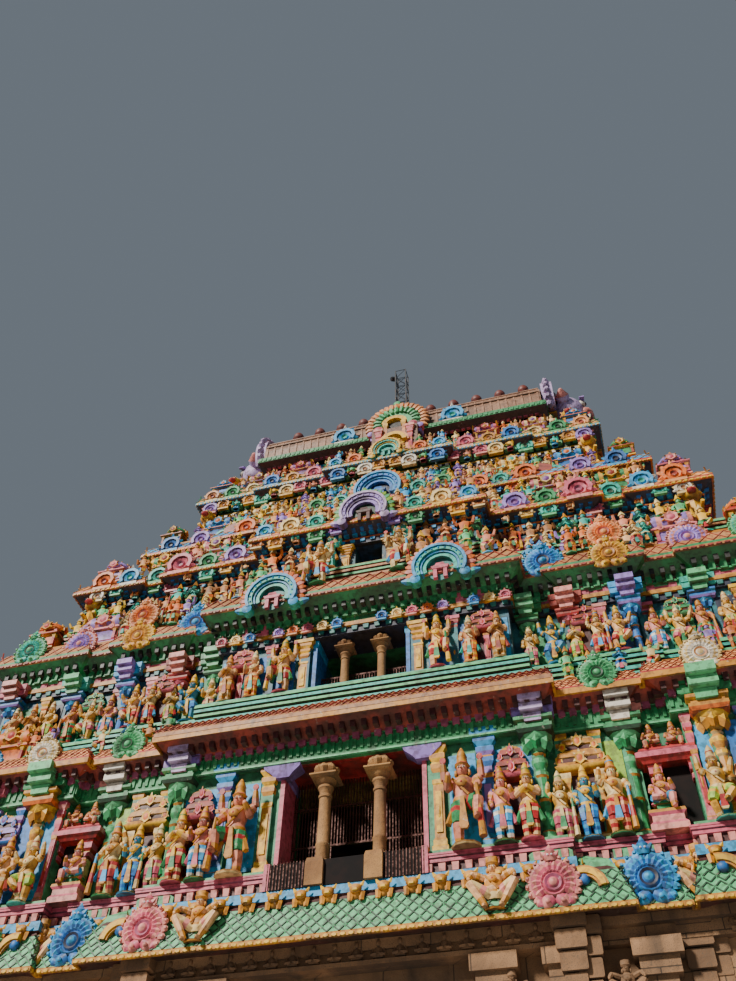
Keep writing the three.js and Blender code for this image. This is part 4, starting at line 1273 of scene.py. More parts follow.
def makeBarrelShrine(fine=True):
    parts = shrineFoot(0.62, 0.3)
    ribs = []
    for i in range(9):
        x = -0.56 + 1.12 * i / 8
        ribs.append((x + 0.56, 0.33 if i % 2 else 0.3, "main" if i % 2 else "trim"))
    cuts = 10 if fine else 8
    parts.append(loft(ribs if fine else ribs[::4], cuts, (-0.56, 0, 0.95), (1, 0, 0), (1, 1, 1.05)))
    for side in (-1, 1):
        parts += miniKudu((side * 0.56, 0, 1.0), 0.3, (side, 0, 0), 7 if fine else 3)
        if fine:
            parts += miniKudu((side * 0.36, -0.29, 0.64), 0.1, (0, -1, 0), 3)
    parts += miniKudu((0, -0.29, 0.98), 0.22, (0, -1, 0), 7 if fine else 5)
    for x in (-0.36, 0, 0.36) if fine else (0,):
        parts.append(potOn((x, 0, 1.26), 0.16, 6))
    return smooth(joined(parts, "barrelShrine"), 40)


# framed niche with two posts, a dark back and a head of shrinking tiers; 1 high
def makeNiche():
    parts = [stackUp([(0, 0.26, 0.12, "trim"), (0.04, 0.26, 0.12, "gold"), (0.06, 0.22, 0.1, "main")],
                     (0, -0.02, 0)),
             # painted shade: the flat back and two grooves of the head take the dark colour
             slab(0.06, 0.64, 0.2, 0.02, "dark"),
             stackUp([(0.6, 0.2, 0.09, "gold"), (0.62, 0.27, 0.14, "main"), (0.66, 0.31, 0.17, "trim"),
                      (0.7, 0.24, 0.12, "main"), (0.74, 0.22, 0.1, "dark"), (0.75, 0.27, 0.13, "gold"),
                      (0.79, 0.25, 0.12, "main"), (0.82, 0.17, 0.09, "main"), (0.86, 0.15, 0.08, "dark"),
                      (0.87, 0.2, 0.11, "trim"), (0.92, 0.18, 0.1, "main"),
                      (0.95, 0.1, 0.07, "gold")], (0, -0.03, 0))]
    for side in (-1, 1):
        parts.append(stackUp([(0.05, 0.05, 0.05, "gold"), (0.09, 0.035, 0.035, "main"),
                              (0.4, 0.035, 0.035, "main"),
                              (0.42, 0.05, 0.05, "gold"), (0.46, 0.035, 0.035, "trim"),
                              (0.52, 0.05, 0.05, "main"),
                              (0.56, 0.065, 0.07, "trim"),
                              (0.61, 0.065, 0.07, "gold")], (side * 0.2, -0.07, 0)))
        for lift, out, size in ((0.7, 0.25, 0.05), (0.82, 0.19, 0.045)):
            parts += miniKudu((side * out, -0.13, lift + 0.03), size, (0, -1, 0), 3)
    parts += miniKudu((0, -0.2, 0.72), 0.065, (0, -1, 0), 5) + miniKudu((0, -0.14, 0.9), 0.06, (0, -1, 0), 5)
    return smooth(joined(parts, "niche"), 35)


# one of the little seated figures of the carved stone band
def makeCarved():
    parts = [
        loft(ofRole("main", (0, 0.3), (0.16, 0.26), (0.5, 0.2), (0.6, 0.08)), 6, squash=(1, 0.7, 1)),
        ball((0, -0.06, 0.76), 0.15, (0.9, 0.9, 1.4), "main", 5, 4),
    ]
    for side in (-1, 1):
        parts.append(limb((side * 0.08, -0.14, 0.18), (side * 0.36, -0.2, 0.12), (0.12, 0.09), ["main"], 4))
        parts.append(limb((side * 0.24, 0, 0.5), (side * 0.3, -0.12, 0.26), (0.07, 0.05), ["main"], 4))
    return smooth(joined(parts, "carved"), 50)


# pair of seated figures on a slab, 1 wide and 1 high, for the heads of doorways
def makePair(seated):
    parts = [stackUp([(0, 0.48, 0.14, "main"), (0.06, 0.52, 0.17, "trim"), (0.12, 0.48, 0.15, "main")])]
    for side in (-1, 1):
        grow = Matrix.Diagonal((side * 0.95, 0.8, 0.95, 1))
        parts.append(copyOf(seated, Matrix.Translation((side * 0.22, -0.03, 0.1)) @ grow))
    return joined(parts, "pair")


# open frame of two posts and two bars, 1 wide and 1 high
def makeFramed():
    parts = [stackUp([(low, 0.5, 0.1, "main"), (low + 0.06, 0.5, 0.12, "trim"),
                      (low + 0.2, 0.5, 0.12, "main")])
             for low in (0.12, 0.8)]
    for side in (-1, 1):
        parts.append(stackUp([(0, 0.1, 0.14, "main"), (0.1, 0.13, 0.16, "trim"), (0.95, 0.13, 0.16, "main"),
                              (1.0, 0.16, 0.18, "trim")], (side * 0.36, 0, 0)))
    return smooth(joined(parts, "framed"), 30)


print("modelling the repeated forms")
figures = {pose: makeFigure(pose) for pose in figurePoses}
smallFigures = {pose: makeFigure(pose, fine=False) for pose in figurePoses}
kudu = makeKudu()
smallKudu = makeSmallKudu()
horseshoe = makeArch()
bust = makeBust()
lion = makeLion()
pilaster = makePilaster()
roundColumn = makeColumn()
plainColumn = makeColumn(fine=False)
bracket = makeBracket()
domedShrine = makeDomedShrine()
plainDomed = makeDomedShrine(fine=False)
plainBarrel = makeBarrelShrine(fine=False)
barrelShrine = makeBarrelShrine()
niche = makeNiche()
pair = makePair(figures["seated"])
plainPair = makePair(smallFigures["seated"])
carved = makeCarved()
framed = makeFramed()
patterns = [*figures.values(), *smallFigures.values(), kudu, smallKudu, horseshoe, bust, lion,
            pilaster, roundColumn, bracket, domedShrine, barrelShrine, niche, pair, carved, framed,
            plainDomed, plainBarrel, plainPair, plainColumn]
# the back and the sides show plainer forms
plainer = {figures[pose].name: smallFigures[pose] for pose in figurePoses}
plainer.update({kudu.name: smallKudu, horseshoe.name: smallKudu, pair.name: plainPair,
                roundColumn.name: plainColumn, domedShrine.name: plainDomed, barrelShrine.name: plainBarrel})
print("forms modelled:", len(patterns))


def turned(face):
    # 0 faces the front, 1 the right side, 2 the back and 3 the left side
    return Matrix.Rotation(face * math.pi / 2, 4, "Z")


def mirrored(alongX, alongY=1):
    return Matrix.Diagonal((alongX, alongY, 1, 1))


def sized(width, depth=None, height=None):
    return Matrix.Diagonal((width, depth or width, height or width, 1))


def placedOn(faces, form, x, depth, z, size, colours, tint=0.08):
    # the same form left and right of the middle of each face; only the front shows the finer one
    parts = []
    place = Matrix.Translation((x, -depth, z)) @ size
    for face in faces:
        shown = form if face == 0 else plainer.get(form.name, form)
        for side in (1, -1) if x else (1,):
            parts.append(paintIn(copyOf(shown, turned(face) @ mirrored(side) @ place), colours, tint))
    return parts


def onFronts(*placed):
    return placedOn((0, 2), *placed)


def onSides(*placed):
    return placedOn((1, 3), *placed)


def onceOnFronts(form, *placed):
    # for a form that is needed in one place only
    parts = onFronts(form, *placed)
    putAway([form])
    return parts


def wallFace(storey, x):
    for end, depth in storey["steps"]:
        if abs(x) <= end:
            return depth
    return storey["steps"][-1][1]


def bayFace(storey, x, bayEnd):
    # a cornice's middle bay can be wider than the wall's, and there the wall's middle face counts
    return storey["steps"][0][1] if x < bayEnd else wallFace(storey, x)


def straightRuns(corners, out):
    # the straight stretches of the quarter's outline, moved outwards: start, end and turn
    runs = []
    x, y, way = corners[0]
    runs.append(((0, y - out), (x + way * out, y - out), 0))
    for (x, y, way), (nextX, nextY, nextWay) in zip(corners, corners[1:]):
        start = (x + way * out, y - out)
        end = (nextX + nextWay * out, nextY - out)
        runs.append((start, end, 0 if y == nextY else way * math.pi / 2))
    x, y, way = corners[-1]
    runs.append(((x + out, y - out), (x + out, 0), math.pi / 2))
    return runs


def allRound(form, corners, out, z, spacing, size, colours, lean=0, least=0.25):
    # rows of copies along every straight stretch; size takes the width of one space
    rows = []
    for start, end, turn in straightRuns(corners, out):
        length = math.hypot(end[0] - start[0], end[1] - start[1])
        if length < least:
            continue
        count = max(1, round(length / spacing))
        along = ((end[0] - start[0]) / count, (end[1] - start[1]) / count)
        first = (start[0] + along[0] / 2, start[1] + along[1] / 2, z)
        place = Matrix.Translation(first) @ Matrix.Rotation(turn, 4, "Z") @ Matrix.Rotation(lean, 4, "X")
        row = copyOf(form, place @ size(length / count))
        if count > 1:
            selectOnly([row])
            array = row.modifiers.new("row", "ARRAY")
            array.count = count
            array.use_relative_offset = False
            array.use_constant_offset = True
            array.constant_offset_displace = (*along, 0)
            bpy.ops.object.modifier_apply(modifier="row")
        rows.append(row)
    ring = joined(rows, "ring")
    mirror = ring.modifiers.new("bothWays", "MIRROR")
    mirror.use_axis = (True, True, False)
    mirror.use_mirror_merge = False
    bpy.ops.object.modifier_apply(modifier="bothWays")
    return [paintIn(ring, colours)]


def bayLean(piece, storey, cornice, profile):
    # a cornice's middle bay reaches further out towards the lip, so each height has its own share of that
    x0, depth0 = storey["steps"][0]
    depth1 = storey["steps"][1][1]
    wide = cornice["centre"] - x0 - cornice["reach"]
    extra = cornice["centreReach"] - cornice["reach"]
    places = vertexPlaces(piece)
    heights = np.array([point[1] for point in profile])
    nearest = np.abs(places[:, 2][:, None] - heights[None]).argmin(axis=1)
    shares = np.array([point[3] for point in profile])[nearest]
    flat = np.abs(places[:, :2])
    signs = np.sign(places[:, :2])
    inCentre = flat[:, 0] < x0 + wide + 0.75
    outs = flat[:, 0] - (x0 + wide)
    frontMost = np.abs(flat[:, 1] - (depth0 + extra + np.abs(outs))) < 0.002
    middle = flat[:, 0] < 0.001
    front = inCentre & (frontMost | middle)
    corner = inCentre & ~middle & (flat[:, 1] > depth1 - 0.2)
    places[:, 1] -= np.where(front, signs[:, 1] * extra * (1 - shares), 0)
    places[:, 0] -= np.where(corner, signs[:, 0] * wide * (1 - shares), 0)
    piece.data.vertices.foreach_set("co", places.ravel())
    piece.data.update()


def keepInside(piece, margin=0.002):
    # nothing may stand outside the solids' own box, so what would is flattened against it
    places = vertexPlaces(piece)
    room = np.array(cadBox[1]) - margin
    held = np.clip(places, -room, room)
    if not np.array_equal(held, places):
        piece.data.vertices.foreach_set("co", held.ravel())
        piece.data.update()
    return piece


# small repeated trims, 1 wide
def makeDentil():
    return stackUp([(0, 0.3, 0.5, "main"), (1, 0.36, 0.6, "trim")])


def makeScallop():
    drop = loft([(-0.05, 0.48, "main"), (0.18, 0.32, "trim")], 6, (0, 0, 0), (0, -1, 0))
    return smooth(joined([drop], "scallop"), 40)


def makeTile(thick):
    # one cell of a lattice of crossed bars with a raised diamond
    parts = []
    for way in (-1, 1):
        bar = slab(0, 1.414, thick, 0.06, "trim")
        slant = Matrix.Rotation(way * math.pi / 4, 4, "Y")
        bar.data.transform(Matrix.Translation((-way * 0.5, 0, 0)) @ slant)
        parts.append(bar)
    if thick > 0.03:
        parts.append(loft([(0, 0.33 - thick, "main"), (0.06, 0.12, "accent")], 4, (0, 0, 0.5), (0, -1, 0)))
    return joined(parts, "tile")


dentil = makeDentil()
scallop = makeScallop()
tile = makeTile(0.05)
fineTile = makeTile(0.024)
patterns += [dentil, scallop, tile, fineTile]

# colours of the cornices from the frieze under them to their tops; "further" and "lower" move the lip
corniceColours = "frieze under fascia slope lines tiles lip bead top dentil"
corniceSizes = "rows further lower lipShare drops"
corniceLooks = [
    {**named(corniceColours, "maroon maroon gold mint darkGreen green gold yellow maroon maroon"),
     **named(corniceSizes, (3, 0.2, 0.65, 0.06, 0.17)), "bend": (0.375, 10.37)},
    {**named(corniceColours, "maroon brickRed red peach brickRed tan gold yellow peach mauve"),
     **named(corniceSizes, (2, 0, 0.04, 0.16, 0.22)), "studs": "maroon", "hang": 0.06},
    {**named(corniceColours, "green green green tan brickRed peach tan brickRed peach green"),
     **named(corniceSizes, (1, 0.05, 0.12, 0.16, 0.2)), "studs": "black"},
    {**named(corniceColours, "navy navy red peach gold cream orange yellow yellow skyBlue"),
     **named(corniceSizes, (1, 0.05, 0.1, 0.16, 0.16)), "studs": "blue"},
    {**named(corniceColours, "navy navy red skyBlue gold turquoise orange yellow pink white"),
     **named(corniceSizes, (1, 0.05, 0.08, 0.16, 0.14))},
    {**named(corniceColours, "darkGreen maroon green peach green pink skyBlue cream yellow mint"),
     **named(corniceSizes, (1, 0.05, 0.1, 0.16, 0.14))},
]
# how far the mouldings stand in front of the solid
skinOffset = 0.012
# a cornice's section in shares of its reach and height, and the sizes of what repeats along it
corniceShape = {
    "footOut": 0.12,
    "underOut": 0.2,
    "underAt": 0.6,
    "bendOut": 0.78,
    "bendAt": 0.58,
    "topOut": 0.06,
    "behind": -0.08,
    "blockSpacing": 0.26,
    "blockTall": 0.36,
    "cell": 0.26,
    "upperCell": 0.34,
}


def makeUnderside(look, cornice, storey):
    # a row of small blocks under the lip, and pendants along the middle where the look has them
    low, reach = cornice["bottom"], cornice["reach"]
    drop = cornice["edge"] - low
    spacing = corniceShape["blockSpacing"]
    tall = drop * corniceShape["blockTall"]
    parts = []
    if "studs" in look:
        middle = outlineCorners(storey, cornice, 0.62)
        parts += allRound(dentil, middle, reach * 0.55, low + drop * 0.58, spacing,
                          lambda width: sized(width * 0.7, 0.2, tall),
                          {"main": look["studs"], "trim": look["studs"]})
    inner = outlineCorners(storey, cornice, 0.25)
    parts += allRound(dentil, inner, reach * 0.2 + 0.05, low + drop * 0.38 + 0.04, spacing,
                      lambda width: sized(width, 0.14, tall),
                      {"main": look["frieze"], "trim": look["dentil"]})
    return parts


def makeLattice(level, corners, start, end):
    # rows of lattice cells up the slope from the lip to the bend
    look = corniceLooks[level]
    form = fineTile if level else tile
    cell = corniceShape["upperCell" if level else "cell"]
    lean = -math.atan2(end.y - start.y, end.z - start.z)
    step = (end - start).length / look["rows"]
    colours = {"main": look["tiles"], "trim": look["lines"], "accent": look["slope"]}
    parts = []
    for row in range(look["rows"]):
        at = start.lerp(end, row / look["rows"])
        parts += allRound(form, corners, -at.y, at.z, min(step, cell), lambda width: sized(width, 0.3, step),
                          colours, lean)
    return parts


def makePlinth(level):
    # the mouldings between a cornice and the floor over it
    corners = outlineCorners(storeys[level])
    bands = plinthBands[level]
    crown = cornices[level]["crown"]
    height = storeys[level]["floor"] - crown
    profile = [(out, crown + height * share, role) for out, share, role in bands["profile"]]
    parts = [paintIn(moulding("plinthBands", corners, profile), bands["colours"])]
    if "dentil" in bands:
        tall = height * 0.2 if level else 0.16
        at = crown + height * bands["dentilAt"]
        parts += allRound(dentil, corners, 0.3, at, corniceShape["blockSpacing"],
                          lambda width: sized(width * 0.75, 0.1, tall),
                          {"main": bands["dentil"], "trim": bands["dentil"]})
    return parts


def makeCornice(level):
    look = corniceLooks[level]
    cornice = cornices[level]
    shape = corniceShape
    storey = storeys[max(level - 1, 0)]
    low, crown, solidReach = cornice["bottom"], cornice["crown"], cornice["reach"]
    edge = cornice["edge"] - look["lower"]
    reach = solidReach + look["further"]
    lipTop = edge + (crown - edge) * look["lipShare"]
    solidBend = (solidReach * shape["bendOut"], cornice["edge"] + (crown - cornice["edge"]) * shape["bendAt"])
    bendOut, bendTop = look.get("bend", solidBend)
    proud = skinOffset
    profile = [
        (solidReach * shape["footOut"] + proud, low, "accent", 0.2),
        (solidReach * shape["underOut"] + proud, low + (edge - low) * shape["underAt"], "dark", 0.3),
        (reach + proud * 1.5, edge, "trim", 1),
        (reach + proud * 2.5, lipTop, "main", 1),
        (bendOut + proud, bendTop, "hair", 0.9),
        (solidReach * shape["topOut"] + proud, crown, "hair", 0.4),
        (shape["behind"], crown, "hair", 0.4),
        (shape["behind"], low, "accent", 0.2),
    ]
    corners = outlineCorners(storey, cornice)
    skin = moulding("corniceSkin", corners, [point[:3] for point in profile])
    bayLean(skin, storey, cornice, profile)
    keepInside(skin, 0.016)
    bands = ("frieze", "under", "fascia", "slope", "top")
    parts = [paintIn(skin, named("accent dark trim main hair", [look[band] for band in bands]))]
    hang = edge - look.get("hang", 0)
    lip = moulding("corniceLip", corners, [
        (reach - 0.02, hang - 0.03, "main"), (reach + 0.03, hang - 0.02, "main"),
        (reach + 0.035, edge + 0.06, "main"), (reach - 0.02, edge + 0.09, "main"),
    ])
    keepInside(lip, 0.008)
    parts.append(paintIn(lip, {"main": look["lip"]}))
    parts += makeUnderside(look, cornice, storey)
    if level != 1:
        parts += allRound(scallop, corners, reach + 0.03, edge + 0.01, look["drops"],
                          lambda width: sized(width, 0.12, 0.1), {"main": look["lip"], "trim": look["bead"]})
    start = Vector((0, -(reach + 0.03), lipTop))
    end = Vector((0, -(bendOut + proud), bendTop))
    parts += makeLattice(level, corners, start, end)
    return parts + makePlinth(level)


# base mouldings of each storey: how far out, share of the height from the crown to the floor, role
firstPlinth = [
    (0.3, -1.5, "gold"), (0.37, -1.33, "trim"), (0.37, -0.67, "gold"), (0.29, -0.65, "gold"),
    (0.29, 0.0, "accent"), (0.35, 0.03, "main"), (0.35, 0.24, "gold"), (0.33, 0.27, "accent"),
    (0.37, 0.34, "main"), (0.37, 0.64, "main"), (-0.05, 0.64, "main"), (-0.05, -1.5, "gold"),
]
steppedPlinth = [
    (0.28, 0.0, "gold"), (0.44, 0.03, "main"), (0.44, 0.15, "trim"), (0.42, 0.18, "gold"),
    (0.35, 0.19, "gold"), (0.35, 0.26, "gold"), (0.41, 0.28, "main"), (0.41, 0.4, "accent"),
    (0.38, 0.42, "gold"), (0.31, 0.43, "gold"), (0.31, 0.53, "gold"), (0.37, 0.55, "trim"),
    (0.37, 0.64, "gold"), (0.32, 0.65, "gold"), (0.32, 0.71, "gold"), (0.38, 0.72, "main"),
    (0.38, 0.82, "gold"), (0.34, 0.83, "gold"), (0.34, 0.87, "gold"), (0.39, 0.88, "trim"),
    (0.37, 1.0, "main"), (-0.05, 1.0, "main"), (-0.05, 0.0, "main"),
]
plinthBands = [
    {"profile": firstPlinth, "dentil": "palePink", "dentilAt": -0.6,
     "colours": scheme("pink skyBlue mauve maroon")},
    {"profile": steppedPlinth, "colours": scheme("turquoise mint gold darkGreen")},
    {"profile": steppedPlinth, "dentil": "yellow", "dentilAt": 0.26,
     "colours": scheme("tan mint turquoise maroon")},
    {"profile": steppedPlinth, "dentil": "pink", "dentilAt": 0.26,
     "colours": scheme("orange peach skyBlue navy")},
    {"profile": steppedPlinth, "dentil": "yellow", "dentilAt": 0.24,
     "colours": scheme("peach skyBlue pink navy")},
    {"profile": steppedPlinth, "dentil": "green", "dentilAt": 0.24,
     "colours": scheme("yellow pink turquoise maroon")},
]

# the fifth colour, dark, is painted shade behind the leaves and in the middle of each shell
kuduLooks = {
    "pink": scheme("pink palePink skyBlue yellow mauve"),
    "blue": scheme("blue skyBlue skyBlue yellow navy"),
    "green": scheme("green mint lime yellow darkGreen"),
    "white": scheme("white cream palePink gold tan"),
    "orange": scheme("orange peach yellow yellow brickRed"),
    "gold": scheme("gold yellow green yellow tan"),
    "lilac": scheme("lilac palePink pink yellow purple"),
    "purple": scheme("purple lilac lilac gold mauve"),
    "sky": scheme("skyBlue white palePink cream turquoise"),
    "turquoise": scheme("turquoise mint yellow gold darkGreen"),
    "peach": scheme("peach cream pink gold brickRed"),
    "cream": scheme("cream yellow orange gold gold"),
}
# the fifth colour, dark, is painted shade at the back of each arch's recess
archLooks = {
    "turquoiseArch": scheme("turquoise skyBlue orange palePink teal pink"),
    "lilacArch": scheme("lilac paleLilac mint lime darkGreen maroon"),
    "blueArch": scheme("blue skyBlue orange gold navy blue"),
    "yellowArch": scheme("turquoise yellow gold yellow teal turquoise"),
}
# shells and arches on each cornice: x of the middle, radius, height over the edge, colours
corniceOrnaments = [
    [(4.1, 0.42, -0.12, "pink"), (5.8, 0.45, -0.1, "blue"), (7.9, 0.42, -0.1, "green"),
     (9.6, 0.42, -0.1, "pink"), (11.2, 0.42, -0.1, "blue")],
    [(5.62, 0.36, 0.32, "green"), (7.83, 0.36, 0.32, "white"), (9.5, 0.37, 0.34, "blue"),
     (11.2, 0.37, 0.34, "pink")],
    [(2.28, 0.66, 0.02, "turquoiseArch"), (4.84, 0.44, 0.32, "blue"), (6.5, 0.42, 0.1, "gold"),
     (6.5, 0.4, 0.86, "orange"), (8.5, 0.44, 0.4, "lilac"), (10.0, 0.42, 0.36, "turquoise")],
    [(0, 0.66, 0.22, "lilacArch"), (1.5, 0.26, 0.24, "turquoise"), (2.3, 0.32, 0.26, "cream"),
     (3.1, 0.26, 0.24, "sky"), (4.3, 0.36, 0.26, "lilac"), (5.2, 0.3, 0.22, "green"),
     (6.14, 0.42, 0.3, "pink"), (7.0, 0.32, 0.24, "turquoise"), (7.9, 0.34, 0.26, "sky"),
     (8.8, 0.36, 0.3, "orange")],
    [(0, 0.72, 0.3, "blueArch"), (1.3, 0.26, 0.22, "turquoise"), (2.1, 0.28, 0.24, "green"),
     (3.2, 0.32, 0.24, "orange"), (3.9, 0.26, 0.2, "turquoise"), (4.7, 0.36, 0.26, "orange"),
     (5.6, 0.28, 0.22, "turquoise"), (6.4, 0.34, 0.28, "lilac"), (7.5, 0.34, 0.28, "blue")],
    [(0, 0.5, 0.3, "yellowArch"), (1.2, 0.26, 0.2, "orange"), (1.9, 0.24, 0.2, "sky"),
     (2.8, 0.3, 0.24, "pink"), (3.6, 0.26, 0.2, "gold"), (4.4, 0.3, 0.24, "blue"),
     (5.2, 0.26, 0.22, "cream"), (6.0, 0.3, 0.24, "green"), (6.8, 0.28, 0.24, "peach")],
]
# shells on the sides: how far from the middle, colours
sideOrnaments = [
    [(1.1, "pink"), (3.6, "blue"), (5.2, "green")],
    [(1.2, "green"), (3.8, "white")],
    [(0.9, "orange"), (3.2, "blue")],
    [(0.9, "pink"), (3.0, "lilac")],
    [(0.7, "turquoise"), (2.4, "orange")],
    [(0.5, "blue"), (1.9, "pink")],
]


# rows that hang under the upper lips: how high under the edge, spacing and size
hangingRows = {3: (0.16, 0.62, 0.2), 4: (0.14, 0.56, 0.19), 5: (0.3, 0.5, 0.24)}


def hangingRow(level):
    under, spacing, size = hangingRows[level]
    cornice = cornices[level]
    storey = storeys[level - 1]
    looks = list(kuduLooks)
    width = storey["steps"][-1][0]
    parts = []
    x = spacing * 0.6 + (0.5 if level == 3 else 0)
    number = 0
    while x < width + 0.1:
        inBay = x < cornice["centre"]
        face = bayFace(storey, min(x, width), cornice["centre"])
        out = (cornice["centreReach"] if inBay else cornice["reach"]) * 0.9
        z = cornice["edge"] - under - 0.1 * (number % 2)
        look = kuduLooks[looks[random.randrange(len(looks))]]
        if number % 3 == 2:
            parts += onFronts(smallFigures["seated"], x, face + out, z - 0.25, sized(size * 3.2),
                              upperColours(number + level), 0.3)
        else:
            parts += onFronts(smallKudu, x, face + out, z, sized(size * (1 + 0.2 * (number % 2))), look)
        x += spacing
        number += 1
    return parts


def ornamentsOn(level):
    cornice = cornices[level]
    storey = storeys[max(level - 1, 0)]
    shell = kudu if level < 3 else smallKudu
    parts = []
    for x, radius, lift, colour in corniceOrnaments[level]:
        face = bayFace(storey, x, cornice["centre"])
        reach = cornice["centreReach" if x < cornice["centre"] else "reach"] + corniceLooks[level]["further"]
        form = horseshoe if colour in archLooks else shell
        look = archLooks.get(colour) or kuduLooks[colour]
        parts += onFronts(form, x, face + reach - 0.04, cornice["edge"] + lift, sized(radius), look)
    width = storey["steps"][-1][0]
    bay, out = storey["sideBay"]
    for along, colour in sideOrnaments[level]:
        depth = width + (out if along < bay else 0) + cornice["reach"] - 0.16
        parts += onSides(smallKudu, along, depth, cornice["edge"] + 0.34, sized(0.36, 0.34),
                         kuduLooks[colour])
    return parts


for level in range(len(cornices)):
    parts = makeCornice(level)
    finishPiece(parts, "cornice_" + str(level) + "_mouldings", "terracotta_plaster")
    finishPiece(ornamentsOn(level), "cornice_" + str(level) + "_arches", "shrine_plaster")

# colours of the figures; each takes one of these in turn
figureLooks = [
    dress("skinPink green red gold"),
    dress("skinCream red cream green"),
    dress("skinOchre lime yellow red"),
    dress("cream red peach skyBlue"),
    dress("skinBlue blue skyBlue gold"),
    dress("peach orange yellow turquoise"),
    dress("skinCream gold cream brickRed"),
    dress("skinGreen green gold yellow"),
    dress("skinOchre pink cream green"),
    dress("palePink skyBlue white pink"),
]
# the small figures of the upper storeys have more colours of their own
upperLooks = [
    dress("peach brickRed gold green"),
    dress("skinCream blue skyBlue red"),
    dress("turquoise teal turquoise gold"),
    dress("yellow green mint red"),
    dress("skinPink pink cream navy"),
    dress("mint green lime gold"),
    dress("tan orange yellow blue"),
    dress("skyBlue blue white pink"),
    dress("cream red palePink turquoise"),
    dress("lilac purple paleLilac gold"),
    dress("orange brickRed gold green"),
]
ornamentColours = {"gold": "gold", "hair": "black", "white": "white", "dark": "black", "accent": "red"}
seatColours = ["cream", "pink", "turquoise", "green", "skyBlue", "peach"]
jewels = ["gold", "yellow", "cream"]


def dressed(look, number):
    jewel = jewels[number % len(jewels)]
    seat = seatColours[number % len(seatColours)]
    return {**ornamentColours, **look, "gold": jewel, "main": seat}


def upperColours(number):
    return dressed(upperLooks[(number * 7) % len(upperLooks)], number)


def figureColours(number):
    return dressed(figureLooks[number % len(figureLooks)], number)


# on the right half of each front: x, pose, height, number of its colours
storeyFigures = [
    [(2.5, "guardian", 2.2, 0), (3.27, "standing", 1.68, 9), (3.8, "praying", 1.68, 1),
     (4.42, "mace", 1.55, 8), (4.93, "standing", 1.6, 4), (5.5, "mace", 1.75, 3),
     (7.45, "dancing", 1.65, 2), (8.1, "standing", 1.65, 6), (8.62, "praying", 1.5, 5),
     (9.2, "mace", 1.6, 0), (9.75, "standing", 1.6, 8), (10.3, "praying", 1.55, 3),
     (10.9, "standing", 1.6, 9), (11.45, "mace", 1.6, 1)],
    [(2.0, "guardian", 1.72, 1), (2.8, "standing", 1.5, 5), (3.5, "praying", 1.5, 6),
     (4.2, "standing", 1.35, 8), (4.75, "dancing", 1.6, 4), (5.3, "praying", 1.3, 2),
     (5.85, "mace", 1.4, 3), (6.35, "dancing", 1.5, 1), (7.2, "standing", 1.45, 9),
     (7.75, "dancing", 1.45, 8), (8.3, "mace", 1.45, 0), (8.9, "standing", 1.4, 2),
     (9.45, "praying", 1.4, 6), (10.0, "mace", 1.4, 5)],
    [(1.1, "guardian", 1.25, 1), (1.75, "standing", 1.05, 8), (2.3, "praying", 1.0, 2),
     (2.85, "dancing", 1.15, 3), (3.6, "standing", 1.0, 1), (4.1, "mace", 1.0, 9), (4.6, "dancing", 1.0, 8),
     (5.1, "standing", 1.0, 6), (5.6, "praying", 1.0, 5), (6.1, "mace", 1.0, 3), (6.6, "standing", 1.0, 7),
     (7.15, "dancing", 1.0, 3), (7.6, "praying", 1.0, 8), (8.15, "mace", 1.0, 2),
     (8.7, "standing", 1.0, 5)],
    [(0.75, "dancing", 0.95, 6), (1.2, "standing", 0.92, 2), (1.65, "praying", 0.9, 9),
     (2.15, "mace", 0.92, 5), (2.85, "standing", 0.9, 3), (3.3, "praying", 0.9, 8),
     (3.75, "dancing", 0.92, 1), (4.25, "standing", 0.9, 6), (4.7, "mace", 0.9, 5),
     (5.2, "praying", 0.9, 1), (5.85, "standing", 0.9, 2), (6.3, "dancing", 0.9, 8),
     (6.8, "standing", 0.9, 7), (7.3, "praying", 0.9, 9), (7.75, "mace", 0.9, 3)],
    [(0.7, "dancing", 1.0, 2), (1.2, "standing", 1.0, 6), (1.7, "praying", 1.0, 5),
     (2.4, "praying", 0.95, 3), (2.85, "standing", 0.98, 8), (3.3, "mace", 0.98, 2),
     (3.8, "dancing", 1.0, 9), (4.3, "standing", 0.98, 1), (5.0, "standing", 0.95, 4),
     (5.5, "praying", 0.95, 3), (6.0, "dancing", 0.95, 6), (6.55, "mace", 0.95, 5)],
]
# on each half of the sides: distance from the middle, pose, height
sideFigures = [
    [(0.9, "dancing", 1.6), (1.7, "standing", 1.55), (3.2, "mace", 1.6), (4.1, "praying", 1.55),
     (5.0, "standing", 1.6)],
    [(0.8, "standing", 1.4), (1.5, "praying", 1.4), (2.8, "dancing", 1.4), (3.6, "mace", 1.4),
     (4.5, "standing", 1.4)],
    [(0.6, "standing", 1.0), (1.3, "dancing", 1.0), (2.4, "praying", 1.0), (3.1, "standing", 1.0),
     (3.9, "mace", 1.0)],
    [(0.5, "dancing", 0.9), (1.1, "standing", 0.9), (2.0, "mace", 0.9), (2.7, "praying", 0.9)],
    [(0.4, "standing", 0.95), (1.0, "praying", 0.95), (1.6, "dancing", 0.95), (2.3, "mace", 0.95)],
]
# each storey's ledge: height over the floor, reach, how far out its figures stand, how much they grow
ledges = [named("height reach stand grow", row) for row in (
    (-0.1, 0.38, 0.31, 1.0),
    (0.05, 0.34, 0.17, 1.0),
    (0.05, 0.34, 0.24, 1.2),
    (0.05, 0.34, 0.24, 1.1),
    (0.05, 0.34, 0.24, 1.15),
)]


